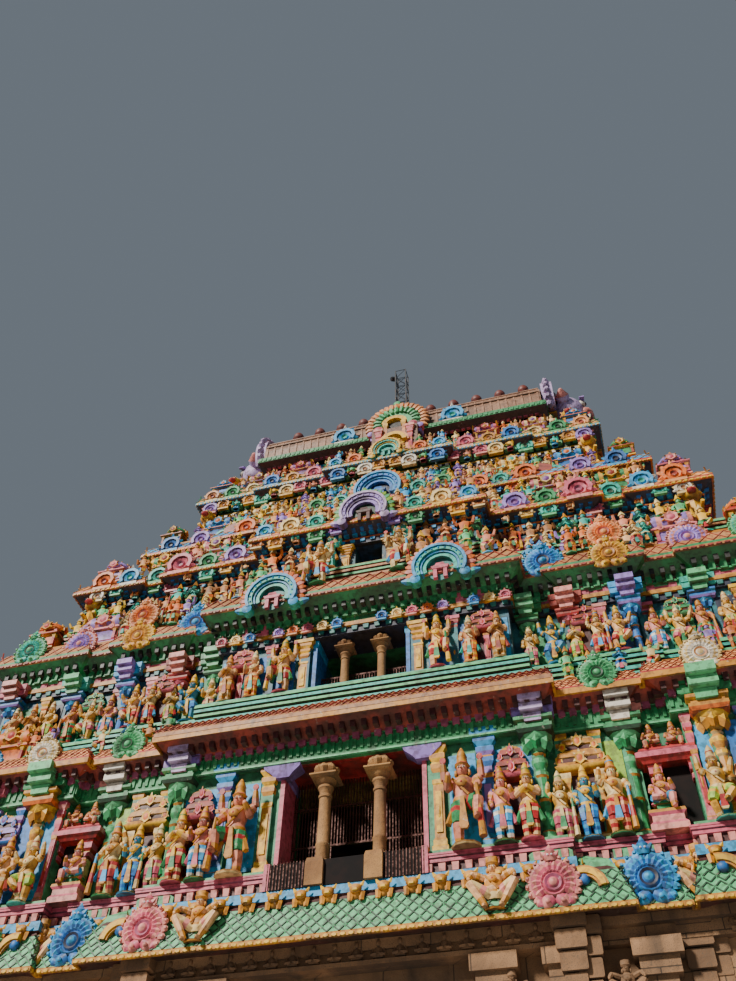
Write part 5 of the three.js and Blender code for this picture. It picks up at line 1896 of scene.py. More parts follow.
def makeStoreyFigures(level):
    storey = storeys[level]
    ledge = ledges[level]
    foot = storey["floor"] + ledge["height"]
    forms = {**smallFigures, "guardian": figures["guardian"]} if level > 1 else figures
    parts = [paintIn(moulding("ledge", outlineCorners(storey), [
        (ledge["reach"], foot - 0.05, "main"),
        (ledge["reach"], foot - 0.01, "main"),
        (ledge["reach"] - 0.03, foot, "main"),
        (-0.02, foot, "main"),
        (-0.02, foot - 0.05, "main"),
    ]), {"main": plinthBands[level]["colours"]["main"], "trim": plinthBands[level]["colours"]["trim"]})]
    for x, pose, height, number in storeyFigures[level]:
        depth = wallFace(storey, x) + ledge["stand"]
        tall = height * ledge["grow"]
        colours = upperColours(number + round(x * 4)) if level > 1 else figureColours(number)
        slim = 0.9 if level < 2 else 1
        parts += onFronts(forms[pose], x, depth, foot, sized(tall * slim, tall, tall), colours,
                          0.12 if level < 2 else 0.3)
    width = storey["steps"][-1][0]
    bay, out = storey["sideBay"]
    for number, (along, pose, height) in enumerate(sideFigures[level]):
        depth = width + (out if along < bay else 0) + ledge["stand"]
        parts += onSides(smallFigures[pose], along, depth, foot, sized(height * ledge["grow"]),
                         figureColours(number * 3 + level), 0.12)
    return parts


# pilasters and columns on the right half of each front: x, form, how wide, colours
storeyPosts = [
    [(1.93, "square", 1.3, "yellow"), (2.98, "square", 1.5, "blue"), (4.1, "round", 1.4, "green"),
     (4.58, "square", 0.9, "yellow"), (5.3, "square", 0.9, "yellow"), (5.92, "round", 1.4, "green"),
     (7.2, "square", 0.7, "pink"), (7.72, "round", 1.45, "gold"), (8.3, "square", 0.8, "violet"),
     (8.98, "square", 0.8, "violet"), (9.25, "round", 1.0, "blue"), (10.5, "square", 1.0, "pink"),
     (11.75, "round", 1.1, "gold")],
    [(1.5, "square", 1.3, "yellow"), (2.4, "square", 0.9, "red"), (3.2, "square", 0.8, "pink"),
     (4.2, "round", 1.0, "green"), (5.22, "round", 1.0, "red"), (6.0, "square", 0.9, "pink"),
     (6.72, "round", 1.0, "blue"), (7.1, "square", 0.9, "red"), (8.45, "round", 1.1, "blue"),
     (9.25, "square", 0.8, "gold"), (10.3, "round", 1.1, "blue")],
    [(0.66, "square", 1.5, "yellow"), (1.45, "square", 0.7, "blue"), (3.08, "round", 0.9, "green"),
     (3.9, "square", 0.7, "pink"), (5.0, "square", 0.7, "gold"), (6.2, "round", 0.9, "red"),
     (7.6, "round", 0.8, "blue"), (9.15, "round", 0.9, "green")],
    [(0.6, "square", 0.6, "red"), (1.7, "square", 0.6, "gold"), (2.4, "round", 0.7, "blue"),
     (3.7, "square", 0.6, "green"), (5.4, "round", 0.7, "pink"), (6.8, "square", 0.6, "gold"),
     (8.0, "round", 0.7, "blue")],
    [(0.5, "square", 0.6, "gold"), (2.0, "round", 0.7, "green"), (3.2, "square", 0.6, "pink"),
     (4.6, "round", 0.7, "blue"), (5.8, "square", 0.6, "red"), (6.9, "round", 0.7, "gold")],
]
postLooks = {
    "gold": scheme("gold yellow orange cream"),
    "yellow": scheme("gold yellow yellow yellow"),
    "blue": scheme("blue skyBlue lilac gold"),
    "green": scheme("green mint darkGreen gold"),
    "pink": scheme("pink palePink red gold"),
    "red": scheme("brickRed pink red gold"),
    "violet": scheme("lilac blue purple gold"),
}
# panels behind the figures: from x, to x, colour
wallPanels = [
    [(2.15, 2.75, "skyBlue"), (3.1, 3.95, "skyBlue"), (5.35, 5.8, "lime"), (7.3, 7.6, "skyBlue"),
     (7.9, 8.2, "blue"), (9.5, 10.3, "skyBlue"), (10.7, 11.5, "green")],
    [(1.75, 3.1, "blue"), (3.3, 3.75, "skyBlue"), (4.3, 5.1, "green"), (5.35, 5.9, "skyBlue"),
     (6.1, 6.6, "blue"), (7.2, 8.3, "turquoise"), (8.7, 9.2, "navy"), (9.4, 10.2, "green")],
    [(0.75, 1.35, "turquoise"), (1.6, 3.0, "blue"), (3.3, 4.9, "mauve"), (5.1, 6.1, "green"),
     (6.4, 7.5, "skyBlue"), (7.9, 9.0, "pink")],
    [(0.7, 1.6, "green"), (1.8, 2.35, "brickRed"), (2.7, 3.6, "skyBlue"), (3.8, 5.3, "mauve"),
     (5.6, 6.7, "green"), (6.9, 7.9, "blue")],
    [(0.6, 1.9, "blue"), (2.2, 3.1, "brickRed"), (3.3, 4.5, "green"), (4.8, 5.7, "mauve"),
     (5.9, 6.8, "turquoise")],
]
# niches: x, width, height, colours
storeyNiches = [
    [(4.93, 1.75, 2.5, "gold"), (8.64, 1.5, 2.4, "violet"), (3.52, 1.2, 2.3, "red")],
    [(3.15, 1.3, 1.78, "red"), (5.62, 1.2, 1.78, "red"), (7.8, 1.2, 1.78, "green")],
    [(2.3, 1.1, 1.15, "blue"), (5.6, 1.1, 1.15, "green"), (8.4, 1.0, 1.15, "gold")],
    [(1.2, 0.9, 1.0, "green"), (4.3, 0.9, 1.0, "gold"), (6.2, 0.9, 1.0, "blue")],
    [(1.3, 0.9, 1.15, "pink"), (3.9, 0.9, 1.15, "gold"), (6.3, 0.9, 1.15, "green")],
]
# blocks in front of the friezes: x, width, height, colour of the front and of the back
bracketBlocks = [
    [(4.1, 0.9, 0.62, "paleLilac", "lilac"), (5.92, 0.95, 0.66, "white", "palePink"),
     (7.72, 1.1, 0.7, "mint", "green"), (9.25, 0.9, 0.6, "palePink", "pink"),
     (10.5, 0.9, 0.6, "lilac", "skyBlue"), (11.75, 0.9, 0.6, "white", "skyBlue")],
    [(4.2, 0.8, 0.5, "mint", "green"), (5.22, 0.8, 0.5, "palePink", "brickRed"),
     (6.72, 0.8, 0.5, "lilac", "skyBlue"), (8.45, 0.8, 0.5, "mint", "turquoise"),
     (10.3, 0.8, 0.5, "palePink", "pink")],
    [],
    [],
    [],
]
# bands across the foot of each cornice: low and high over the storey's top, how far out, colour
friezes = [
    [(-0.04, 0.44, 0.16, "green"), (0.42, 0.46, 0.19, "mint"), (-0.02, 0.02, 0.18, "mint")],
    [(-0.05, 0.14, 0.1, "navy"), (0.14, 0.26, 0.17, "gold"), (0.26, 0.44, 0.1, "mint"),
     (0.44, 0.5, 0.17, "green")],
    [(-0.06, 0.12, 0.12, "navy"), (0.12, 0.16, 0.15, "orange")],
    [(-0.06, 0.1, 0.1, "navy"), (0.1, 0.14, 0.13, "skyBlue")],
    [(-0.06, 0.12, 0.1, "navy"), (0.12, 0.16, 0.13, "yellow")],
]
# dentils on the friezes: low, high, spacing, colour
friezeDentils = [
    (0.1, 0.34, 0.17, "green"), (0.0, 0.12, 0.3, "teal"), (0.0, 0.09, 0.3, "skyBlue"),
    (0.0, 0.08, 0.25, "skyBlue"), (0.0, 0.1, 0.25, "white"),
]
# tiny shells on the gold band of the second storey: first x and colour of each row; and its open frames
tinyShells = [(0.6, "blue"), (1.4, "pink"), (2.2, "lilac"), (1.0, "cream"), (1.8, "orange")]
shellSpacing = 2.4
framedPlaces = (2.9, 4.6, 6.0, 7.6, 9.2)


postForms = {"square": pilaster, "round": roundColumn}


def makeWallOrnaments(level, foot, tall):
    storey = storeys[level]
    top = storey["top"]
    parts = []
    for x, kind, wide, colour in storeyPosts[level]:
        grow = wide * (1 if level < 2 else 0.85)
        parts += onFronts(postForms[kind], x, wallFace(storey, x) + 0.03, foot, sized(grow, grow * 0.9, tall),
                          postLooks[colour])
    for left, right, colour in wallPanels[level]:
        half = (right - left) / 2
        x = (left + right) / 2
        panel = slab(0.15, top - foot - 0.3, half, 0.02)
        parts += onceOnFronts(panel, x, wallFace(storey, x), foot, sized(1), {"main": colour})
    # the niches' dark role is maroon, painted shade at their backs and in their grooves
    for x, wide, high, colour in storeyNiches[level]:
        parts += onFronts(niche, x, wallFace(storey, x) + 0.02, foot, sized(wide, 1, high),
                          {**postLooks[colour], "dark": "maroon"})
    for x, wide, high, colour, second in bracketBlocks[level]:
        parts += onFronts(bracket, x, wallFace(storey, x) + 0.2, top + (0.06 if level == 0 else -0.1),
                          sized(wide, wide * 0.7, high),
                          {"main": colour, "accent": second, "trim": colour})
    return parts


def makeSidePosts(level, foot, tall):
    storey = storeys[level]
    width, reach = storey["steps"][-1]
    bay, out = storey["sideBay"]
    parts = []
    count = 6 if level < 2 else 4
    for i in range(count):
        along = 0.35 + (reach - 0.7) * i / (count - 1)
        depth = width + (out if along < bay else 0)
        colour = list(postLooks)[(i + level) % len(postLooks)]
        parts += onSides(postForms["round" if i % 2 else "square"], along, depth + 0.03, foot,
                         sized(0.9, 0.85, tall),
                         postLooks[colour])
    return parts


def makeFrieze(level):
    storey = storeys[level]
    top = storey["top"]
    corners = outlineCorners(storey, cornices[level + 1], 0.2)
    parts = []
    for low, high, out, colour in friezes[level]:
        parts.append(paintIn(moulding("friezeBand", corners, [
            (0.0, top + low, "main"), (out, top + low, "main"), (out, top + high, "main"),
            (0.0, top + high, "main"),
        ]), {"main": colour}))
    low, high, spacing, colour = friezeDentils[level]
    out = 0.17 if level == 0 else friezes[level][0][2] + 0.02
    parts += allRound(dentil, corners, out, top + low, spacing,
                      lambda width: sized(width * 0.7, 0.05, high - low), {"main": colour, "trim": colour})
    return parts


def makeFriezeShells(storey, cornice):
    top = storey["top"]
    width = storey["steps"][-1][0]
    parts = []
    for x, colour in tinyShells:
        while x < width:
            extra = 0.05 + (0.2 if x < cornice["centre"] else 0)
            parts += onFronts(smallKudu, x, wallFace(storey, x) + extra, top + 0.22, sized(0.14),
                              kuduLooks[colour])
            x += shellSpacing
    for x in framedPlaces:
        extra = 0.1 if x < cornice["centre"] else 0.02
        parts += onFronts(framed, x, wallFace(storey, x) + extra, top + 0.24, sized(0.75, 0.7, 0.5),
                          scheme("pink palePink"))
    return parts


def makeStoreyCarving(level):
    storey = storeys[level]
    foot = storey["floor"] + 0.02
    tall = storey["top"] - foot + (0.2 if level == 0 else -0.06)
    parts = makeWallOrnaments(level, foot, tall) + makeSidePosts(level, foot, tall) + makeFrieze(level)
    if level == 1:
        parts += makeFriezeShells(storey, cornices[2])
    return parts


# colours of the small shrines on the ledges over the cornices
shrineLooks = [
    scheme("turquoise pink yellow gold"),
    scheme("orange gold red yellow"),
    scheme("lilac palePink pink gold"),
    scheme("green yellow brickRed gold"),
    scheme("blue skyBlue orange yellow"),
    scheme("pink cream purple gold"),
    scheme("gold cream turquoise yellow"),
    scheme("purple pink gold yellow"),
]
# shrines on each ledge: width of the corner one, x and width of the others, height, x of the figures
parapets = [named("corner along height extra", row) for row in (
    (1.0, [(9.5, 1.1)], 1.3, (10.2, 8.7, 8.2, 6.9, 6.2, 5.5, 5.0)),
    (0.9, [(8.35, 1.2)], 1.35, (9.1, 7.6, 7.1, 6.6, 6.0, 5.5, 5.0, 4.5, 3.9, 3.4)),
    (0.9, [(7.2, 1.1), (5.3, 1.1)], 1.25, (7.9, 6.45, 6.0, 4.55, 4.1, 3.6, 3.1, 2.6, 2.1, 1.6, 1.1)),
    (0.8, [(6.1, 1.0), (4.3, 1.0)], 1.15, (6.85, 5.4, 5.0, 3.6, 3.15, 2.7, 2.25, 1.8, 1.35, 0.95)),
    (0.9, [(5.2, 0.9), (3.5, 0.9)], 0.95, (5.85, 4.6, 4.15, 2.85, 2.4, 1.95, 1.5, 1.1)),
)]


def makeParapet(level):
    below = storeys[level]
    cornice = cornices[level + 1]
    plan = parapets[level]
    z = cornice["crown"]
    height = plan["height"]
    parts = [paintIn(moulding("parapetSlab", outlineCorners(below), [
        (0.02, z, "main"), (0.04, z + 0.09, "trim"), (0, z + 0.12, "main"), (-0.9, z + 0.12, "main"),
        (-0.9, z, "main"),
    ]), scheme("gold green"))]
    cornerX = below["steps"][-1][0] + 0.1 - plan["corner"] / 2
    cornerY = below["steps"][-1][1] + 0.1 - plan["corner"] / 2
    grow = height / 1.45
    parts += onFronts(domedShrine, cornerX, cornerY, z + 0.08, sized(plan["corner"], plan["corner"], grow),
                      shrineLooks[level % 8])
    for number, (x, width) in enumerate(plan["along"]):
        face = min(wallFace(below, x - width / 2), wallFace(below, x + width / 2))
        parts += onFronts(barrelShrine, x, face - 0.27, z + 0.08, sized(width / 1.24, 1.0, grow),
                          shrineLooks[(level + 2 * number + 1) % 8])
    for number, x in enumerate(plan["extra"]):
        face = wallFace(below, x)
        pose = ("seated", "dancing", "standing", "praying", "mace")[(number * 2 + level) % 5]
        tall = height * (0.72 + 0.1 * ((number * 3 + level) % 3))
        parts += onFronts(smallFigures[pose], x, face - 0.05, z + 0.1,
                          sized(tall), upperColours(number * 3 + level * 2), 0.3)
    width = below["steps"][-1][0] + below["sideBay"][1]
    parts += onSides(barrelShrine, 0, width - 0.3, z + 0.08, sized(below["sideBay"][0] * 1.1, 1.1, grow),
                     shrineLooks[(level + 4) % 8])
    for along in (1.9, 2.7, 3.5) if level < 2 else (1.5, 2.2):
        parts += onSides(smallFigures["dancing"], along + 0.2, width - below["sideBay"][1] - 0.15, z + 0.1,
                         sized(height * 0.7), figureColours(level + int(along * 2)), 0.12)
    return parts


# figures that stand on each cornice's lip: x, foot, how far out, pose, height, number of the colours
lipFigures = {
    2: [(1.12, 19.1, 0.5, "guardian", 1.7, 3), (1.7, 19.5, 0.3, "seated", 1.5, 2),
        (2.95, 19.5, 0.3, "standing", 1.1, 5), (3.5, 19.3, 0.35, "dancing", 1.1, 8),
        (5.6, 19.2, 0.35, "standing", 1.1, 1), (7.3, 19.2, 0.35, "praying", 1.1, 7)],
    3: [(0.95, 22.2, 0.35, "seated", 1.2, 8), (1.9, 22.3, 0.3, "dancing", 0.95, 1),
        (2.7, 22.3, 0.3, "standing", 0.95, 3), (3.7, 22.2, 0.25, "praying", 0.95, 6),
        (4.75, 22.2, 0.25, "dancing", 0.95, 2), (5.65, 22.2, 0.25, "mace", 0.95, 7)],
    4: [(0.95, 24.75, 0.35, "dancing", 0.95, 1), (1.7, 24.8, 0.3, "standing", 0.9, 8),
        (2.6, 24.8, 0.3, "praying", 0.9, 2), (3.55, 24.8, 0.25, "mace", 0.9, 5),
        (4.3, 24.8, 0.25, "dancing", 0.9, 9), (5.1, 24.8, 0.25, "standing", 0.9, 3)],
}
# rearing beasts at the ends of the lips: x, depth of the wall, foot, size
lionPlaces = [
    (9.1, 4.55, 20.4, 1.2), (7.9, 3.4, 23.1, 1.1), (6.85, 2.65, 25.75, 1.25), (6.5, 1.75, 28.45, 1.3),
]
lionColours = {**scheme("yellow gold red"), "white": "white", "hair": "gold", "dark": "brickRed"}


def makeLipFigures():
    parts = []
    for level, placed in lipFigures.items():
        storey = storeys[level - 1]
        cornice = cornices[level]
        for x, foot, out, pose, height, number in placed:
            face = bayFace(storey, x, cornice["centre"])
            form = figures[pose] if pose == "guardian" else smallFigures[pose]
            colours = figureColours(number) if pose == "guardian" else upperColours(number + level)
            parts += onFronts(form, x, face + out, foot, sized(height), colours, 0.25)
        parts += hangingRow(level) if level in hangingRows else []
    parts += hangingRow(5)
    for x, depth, foot, size in lionPlaces:
        parts += onFronts(lion, x, depth + 0.25, foot, sized(size), lionColours)
    return parts


finishPiece(makeLipFigures(), "cornice_lip_figures", "figure_plaster")
for level in range(5):
    name = "storey_" + str(level + 1)
    finishPiece(makeStoreyFigures(level), name + "_statues", "figure_plaster", name + "_figures")
    finishPiece(makeStoreyCarving(level), name + "_carving", "shrine_plaster")
    parapetName = "parapet_" + str(level + 2)
    finishPiece(makeParapet(level), parapetName + "_shrines", "shrine_plaster", parapetName)

# carved stone columns and iron grilles in the middle openings: x and radius of the columns, how far they
# and the grille stand behind the wall's face, colours of the jamb and soffit, how deep these are
openings = [named("column radius setback grille jamb soffit depth", row) for row in (
    (0.62, 0.145, 0.02, 0.69, "pink", "red", 0.9),
    (0.48, 0.115, 0.2, 0.42, "blue", "navy", 0.8),
)]
columnHead = 0.1
ironwork = {"bar": 0.011, "spacing": 0.07, "rail": 0.018, "rails": (0.36, 0.72), "lowShare": 0.45}
# under the first opening the ledge is broken by the lower end of its grille
threshold = {"low": 10.7, "high": 11.24, "half": 1.62, "out": 0.385}


def asOneFinish(piece, material):
    piece.data.materials.clear()
    piece.data.materials.append(material)
    numbers = np.zeros(len(piece.data.polygons), dtype=np.int32)
    piece.data.polygons.foreach_set("material_index", numbers)
    return piece


def makeStoneColumn(radius, height):
    r = radius
    shaft = loft(ofRole("main", (0.06 * height, r * 1.0), (0.2 * height, r * 0.96),
                        (0.21 * height, r * 1.06), (0.23 * height, r * 1.06), (0.24 * height, r * 0.94),
                        (0.66 * height, r * 0.88), (0.67 * height, r * 1.05), (0.69 * height, r * 1.05),
                        (0.7 * height, r * 0.88), (0.74 * height, r * 0.95), (0.76 * height, r * 1.2),
                        (0.78 * height, r * 1.2), (0.795 * height, r * 0.85), (0.82 * height, r * 1.45),
                        (0.84 * height, r * 1.6)), 16)
    foot = stackUp(ofRole("main", (0, r * 1.25, r * 1.25), (0.05 * height, r * 1.25, r * 1.25),
                          (0.07 * height, r * 1.0, r * 1.0)))
    abacus = stackUp(ofRole("main", (0.84 * height, r * 1.7, r * 1.7), (0.86 * height, r * 2.1, r * 2.1),
                            (0.875 * height, r * 2.1, r * 2.1), (0.89 * height, r * 1.1, r * 1.1),
                            (height, r * 1.1, r * 1.1)))
    parts = [shaft, foot, abacus]
    for i in range(8):
        angle = math.tau * i / 8
        way = Vector((math.cos(angle), math.sin(angle), 0))
        start = way * r * 0.8 + Vector((0, 0, 0.88 * height))
        leaf = ofRole("main", (0, r * 0.4), (r * 0.7, r * 0.75), (r * 1.5, r * 0.7), (r * 1.9, r * 0.2))
        parts.append(loft(leaf, 6, start, way * 0.6 + Vector((0, 0, 1))))
    return smooth(joined(parts, "stoneColumn"), 35)


def makeOpening(level):
    plan = openings[level]
    storey = storeys[level]
    floor, top, half = storey["floor"], storey["top"], storey["opening"]
    face = storey["steps"][0][1]
    y = face - plan["setback"]
    foot = floor + 0.02
    column = makeStoneColumn(plan["radius"], top - columnHead - foot)
    stone = onFronts(column, plan["column"], y, foot, sized(1), {})
    if level == 0:
        block = stackUp(ofRole("main", (threshold["low"], 0.19, 0.2), (threshold["high"] - 0.06, 0.19, 0.2),
                               (threshold["high"] + 0.04, 0.165, 0.18)))
        stone += onceOnFronts(block, plan["column"], face + threshold["out"] - 0.12, 0, sized(1), {})
    stone = asOneFinish(joined(stone, "stone"), columnGranite)
    width = plan["depth"] / 2
    jamb = stackUp([(0, 0.07, width, "main"), (0.12, 0.07, width, "trim"), (0.16, 0.05, width, "main"),
                    (top - floor - 0.3, 0.05, width, "main"), (top - floor - 0.26, 0.08, width, "trim"),
                    (top - floor - 0.01, 0.08, width, "trim")])
    soffit = slab(0, 0.05, half, width, "accent")
    head = stackUp([(-0.05, half + 0.1, 0.05, "accent"), (0.22, half + 0.1, 0.09, "accent")])
    corbel = stackUp([(0, 0.16, 0.12, "main"), (0.1, 0.26, 0.15, "trim"), (0.22, 0.42, 0.18, "main"),
                      (0.3, 0.44, 0.2, "trim")])
    middle = face - width + 0.03
    colours = {"main": plan["jamb"], "trim": "lilac" if level == 0 else "skyBlue", "accent": plan["soffit"]}
    shade = []
    parts = onFronts(jamb, half - 0.05, middle, floor, sized(1), colours)
    parts += onFronts(soffit, 0, middle, top - 0.06, sized(1), colours)
    if level == 0:
        parts += onFronts(head, 0, face + 0.04, top, sized(1), colours)
        parts += onFronts(corbel, half - 0.05, face + 0.02, top - 0.32, sized(1), scheme("lilac lilac"))
        sill = threshold["half"]
        panel = slab(threshold["low"], threshold["high"], sill, 0.19, "dark")
        shade += onceOnFronts(panel, 0, face + threshold["out"] - 0.19, 0, sized(1), {})
        post = slab(threshold["low"], threshold["high"] + 0.03, 0.06, 0.2)
        parts += onceOnFronts(post, sill + 0.04, face + threshold["out"] - 0.19, 0, sized(1), colours)
    frame = joined(parts, "frame")
    if shade:
        frame = joined([frame, asOneFinish(joined(shade, "shade"), gapShade)], "frame")
    putAway([column, jamb, soffit, head, corbel])
    return stone, frame


def makeGrille(level):
    plan = openings[level]
    storey = storeys[level]
    floor, half = storey["floor"], storey["opening"]
    y = storey["steps"][0][1] - plan["grille"]
    height = (storey["top"] - floor) * (1 if level == 0 else ironwork["lowShare"])
    bar = ironwork["bar"]
    parts = []
    count = round(half / ironwork["spacing"])
    for i in range(count):
        x = (i + 0.5) * half / count
        inMiddle = level == 0 and x < plan["column"]
        low = floor + (height * ironwork["rails"][0] if inMiddle else 0)
        upright = slab(low, floor + height, bar, bar)
        parts += onceOnFronts(upright, x, y, 0, sized(1), {})
        if level == 0 and not inMiddle:
            lower = slab(threshold["low"], threshold["high"] + 0.02, bar, bar)
            out = storey["steps"][0][1] + threshold["out"] + bar * 0.5
            parts += onceOnFronts(lower, x, out, 0, sized(1), {})
    rails = [*ironwork["rails"], 0.99]
    for share in rails:
        rail = slab(-0.022, 0.022, half - 0.002, ironwork["rail"])
        parts += onceOnFronts(rail, 0, y, floor + height * share, sized(1), {})
    return asOneFinish(joined(parts, "grille"), ironRust)


for level in range(2):
    name = "storey_" + str(level + 1)
    stone, frame = makeOpening(level)
    finishPiece([stone], name + "_stone_columns", "column_stone", name + "_front_columns",
                name + "_back_columns")
    finishPiece([frame], name + "_opening_frames", "figure_plaster")
    finishPiece([makeGrille(level)], name + "_window_bars", "rusty_iron", name + "_front_grille",
                name + "_back_grille")

# the barrel roof: tiled ribs, gables with horned masks, dormers, pots and the mast
roof = {
    "halfWidth": 5.65,
    "halfDepth": 1.75,
    "eaveTop": 31.4,
    "ridge": 33.3,
    "ribs": 37,
    "pots": 11,
    "potPitch": 1.0,
    "potHeight": 1.6,
    "stripTop": 33.48,
}


def makeRoofRibs():
    halfWidth, halfDepth = roof["halfWidth"], roof["halfDepth"]
    springing = roof["eaveTop"] + 0.475
    stretch = (roof["ridge"] - springing) / halfDepth
    parts = []
    for i in range(roof["ribs"]):
        x = -halfWidth + 0.1 + (2 * halfWidth - 0.2) * i / (roof["ribs"] - 1)
        if i == 0:
            rib = arch((halfDepth - 0.06, halfDepth + 0.018), (-0.03, 0.03), (0, 180), 16, stretch=stretch)
            leg = slab(-0.47, 0.02, 0.045, 0.045, at=(halfDepth - 0.015, 0, 0))
            otherLeg = copyOf(leg, mirrored(-1))
            rib = joined([rib, leg, otherLeg], "rib")
        place = Matrix.Translation((x, 0, springing)) @ turned(1)
        parts.append(paintIn(copyOf(rib, place), {"main": "roofBrown"}))
    putAway([rib])
    for share in (0.12, 0.34, 0.56):
        angle = share * math.pi / 2
        y = halfDepth * math.cos(angle) + 0.02
        z = springing + halfDepth * stretch * math.sin(angle)
        for side in (-1, 1):
            course = loft([(0, 0.04, "main"), (2 * halfWidth - 0.1, 0.04, "main")], 6,
                          (-halfWidth + 0.05, side * y, z), (1, 0, 0))
            parts.append(paintIn(course, {"main": "roofBrown"}))
    return parts


def makeEaveTrim():
    neck = storeys[-1]
    x, y = neck["steps"][-1]
    plan = {"steps": [(x, y)], "sideBay": neck["sideBay"]}
    corners = outlineCorners(plan)
    lip = moulding("eaveLip", corners, [
        (0.15, 30.8, "dark"), (0.47, 30.98, "dark"), (0.5, 31.0, "main"), (0.5, 31.22, "trim"),
        (0.47, 31.28, "main"), (0.3, 31.4, "main"), (-0.05, 31.4, "main"), (-0.05, 30.8, "dark"),
    ])
    parts = [paintIn(lip, {"dark": "maroon", "main": "green", "trim": "green"})]
    parts += allRound(dentil, corners, 0.2, 30.8, 0.22, lambda width: sized(width, 0.1, 0.12),
                      scheme("black pink"))
    parts += allRound(dentil, corners, 0.5, 31.04, 0.2, lambda width: sized(width, 0.05, 0.16),
                      scheme("mint green"))
    parts += onFronts(smallKudu, 2.2, y + 0.36, 31.62, sized(0.46), kuduLooks["sky"])
    return parts


def makeGableEnd():
    # modelled facing the front, then turned to the ends of the roof
    parts = [
        arch((1.28, 1.62), (-0.5, -0.06), (-30, 210), 24, (0, 0, 0.9), "main", 0.95),
        arch((1.02, 1.26), (-0.42, -0.06), (-28, 208), 22, (0, 0, 0.9), "trim", 0.95),
        arch((0.8, 1.0), (-0.48, -0.06), (-26, 206), 20, (0, 0, 0.9), "accent", 0.95),
        # painted shade: the disc at the back of the window takes the dark colour, which is maroon
        loft([(0, 1.3, "dark"), (0.16, 1.3, "dark")], 24, (0, 0, 0.9), (0, -1, 0)),
        stackUp([(0, 1.1, 0.22, "trim"), (0.12, 1.1, 0.22, "gold"), (0.2, 0.7, 0.2, "main"),
                 (0.4, 0.6, 0.2, "trim")], (0, -0.28, 0)),
    ]
    for way in fan(19, -28, 236):
        way.z *= 0.95
        parts.append(loft([(1.45, 0.16, "main"), (1.62, 0.2, "trim"), (1.78, 0.08, "main")], 6,
                          (0, -0.28, 0.9), way, (1, 0.8, 1)))
    mask = (0, -0.95, 0.95)
    parts += [
        ball(mask, 0.82, (1.0, 0.85, 0.95), "main", 18, 13),
        ball((0, -1.6, 0.75), 0.36, (1.3, 0.9, 0.7), "trim", 12, 8),
        ball((0, -1.72, 0.52), 0.26, (1.6, 0.5, 0.4), "cloth", 10, 5),
        loft([(0, 0.14, "trim"), (0.4, 0.07, "main")], 7, (0, -1.66, 0.9), (0, -0.1, 1)),
    ]
    for i in range(3):
        # rolls of the mane behind the head
        roll = 0.5 + 0.22 * i
        parts.append(arch((0.8, 0.96), (-roll - 0.08, -roll + 0.08), (20, 160), 12, (0, 0, 0.9), "trim", 1.0))
    for side in (-1, 1):
        parts += [
            ball((side * 0.34, -1.52, 1.15), 0.19, (1, 0.8, 1), "white", 10, 7),
            ball((side * 0.34, -1.66, 1.15), 0.085, (1, 0.6, 1), "dark", 8, 5),
            arch((0.22, 0.32), (-0.14, 0.05), (10, 170), 8, (side * 0.34, -1.52, 1.2), "accent"),
            loft([(0, 0.26, "main"), (0.35, 0.26, "stripe"), (0.65, 0.16, "stripe"),
                  (0.95, 0.04, "stripe")], 8,
                 (side * 0.5, -0.5, 1.45), (side * 0.35, 0.45, 1)),
            loft([(0, 0.24, "trim"), (0.3, 0.28, "main"), (0.6, 0.06, "trim")], 7,
                 (side * 0.66, -0.85, 1.1), (side * 1, 0.1, 0.45)),
            loft([(0, 0.07, "white"), (0.26, 0.015, "white")], 5, (side * 0.3, -1.72, 0.5),
                 (side * 0.2, 0, -1)),
        ]
    return smooth(joined(parts, "gableEnd"), 45)


# the dark role, maroon, is painted shade behind the mask
gableColours = {"main": "paleLilac", "trim": "palePink", "accent": "lilac", "dark": "maroon", "gold": "gold",
                "cloth": "red", "stripe": "hornGrey", "white": "white"}
gableEnd = makeGableEnd()
for face, name in ((1, "right"), (3, "left")):
    place = turned(face) @ Matrix.Translation((0, -roof["halfWidth"], roof["eaveTop"]))
    end = keepInside(paintIn(copyOf(gableEnd, place), gableColours))
    finishPiece([end], "gable_" + name + "_mask", "lilac_plaster", "gable_" + name)
putAway([gableEnd])


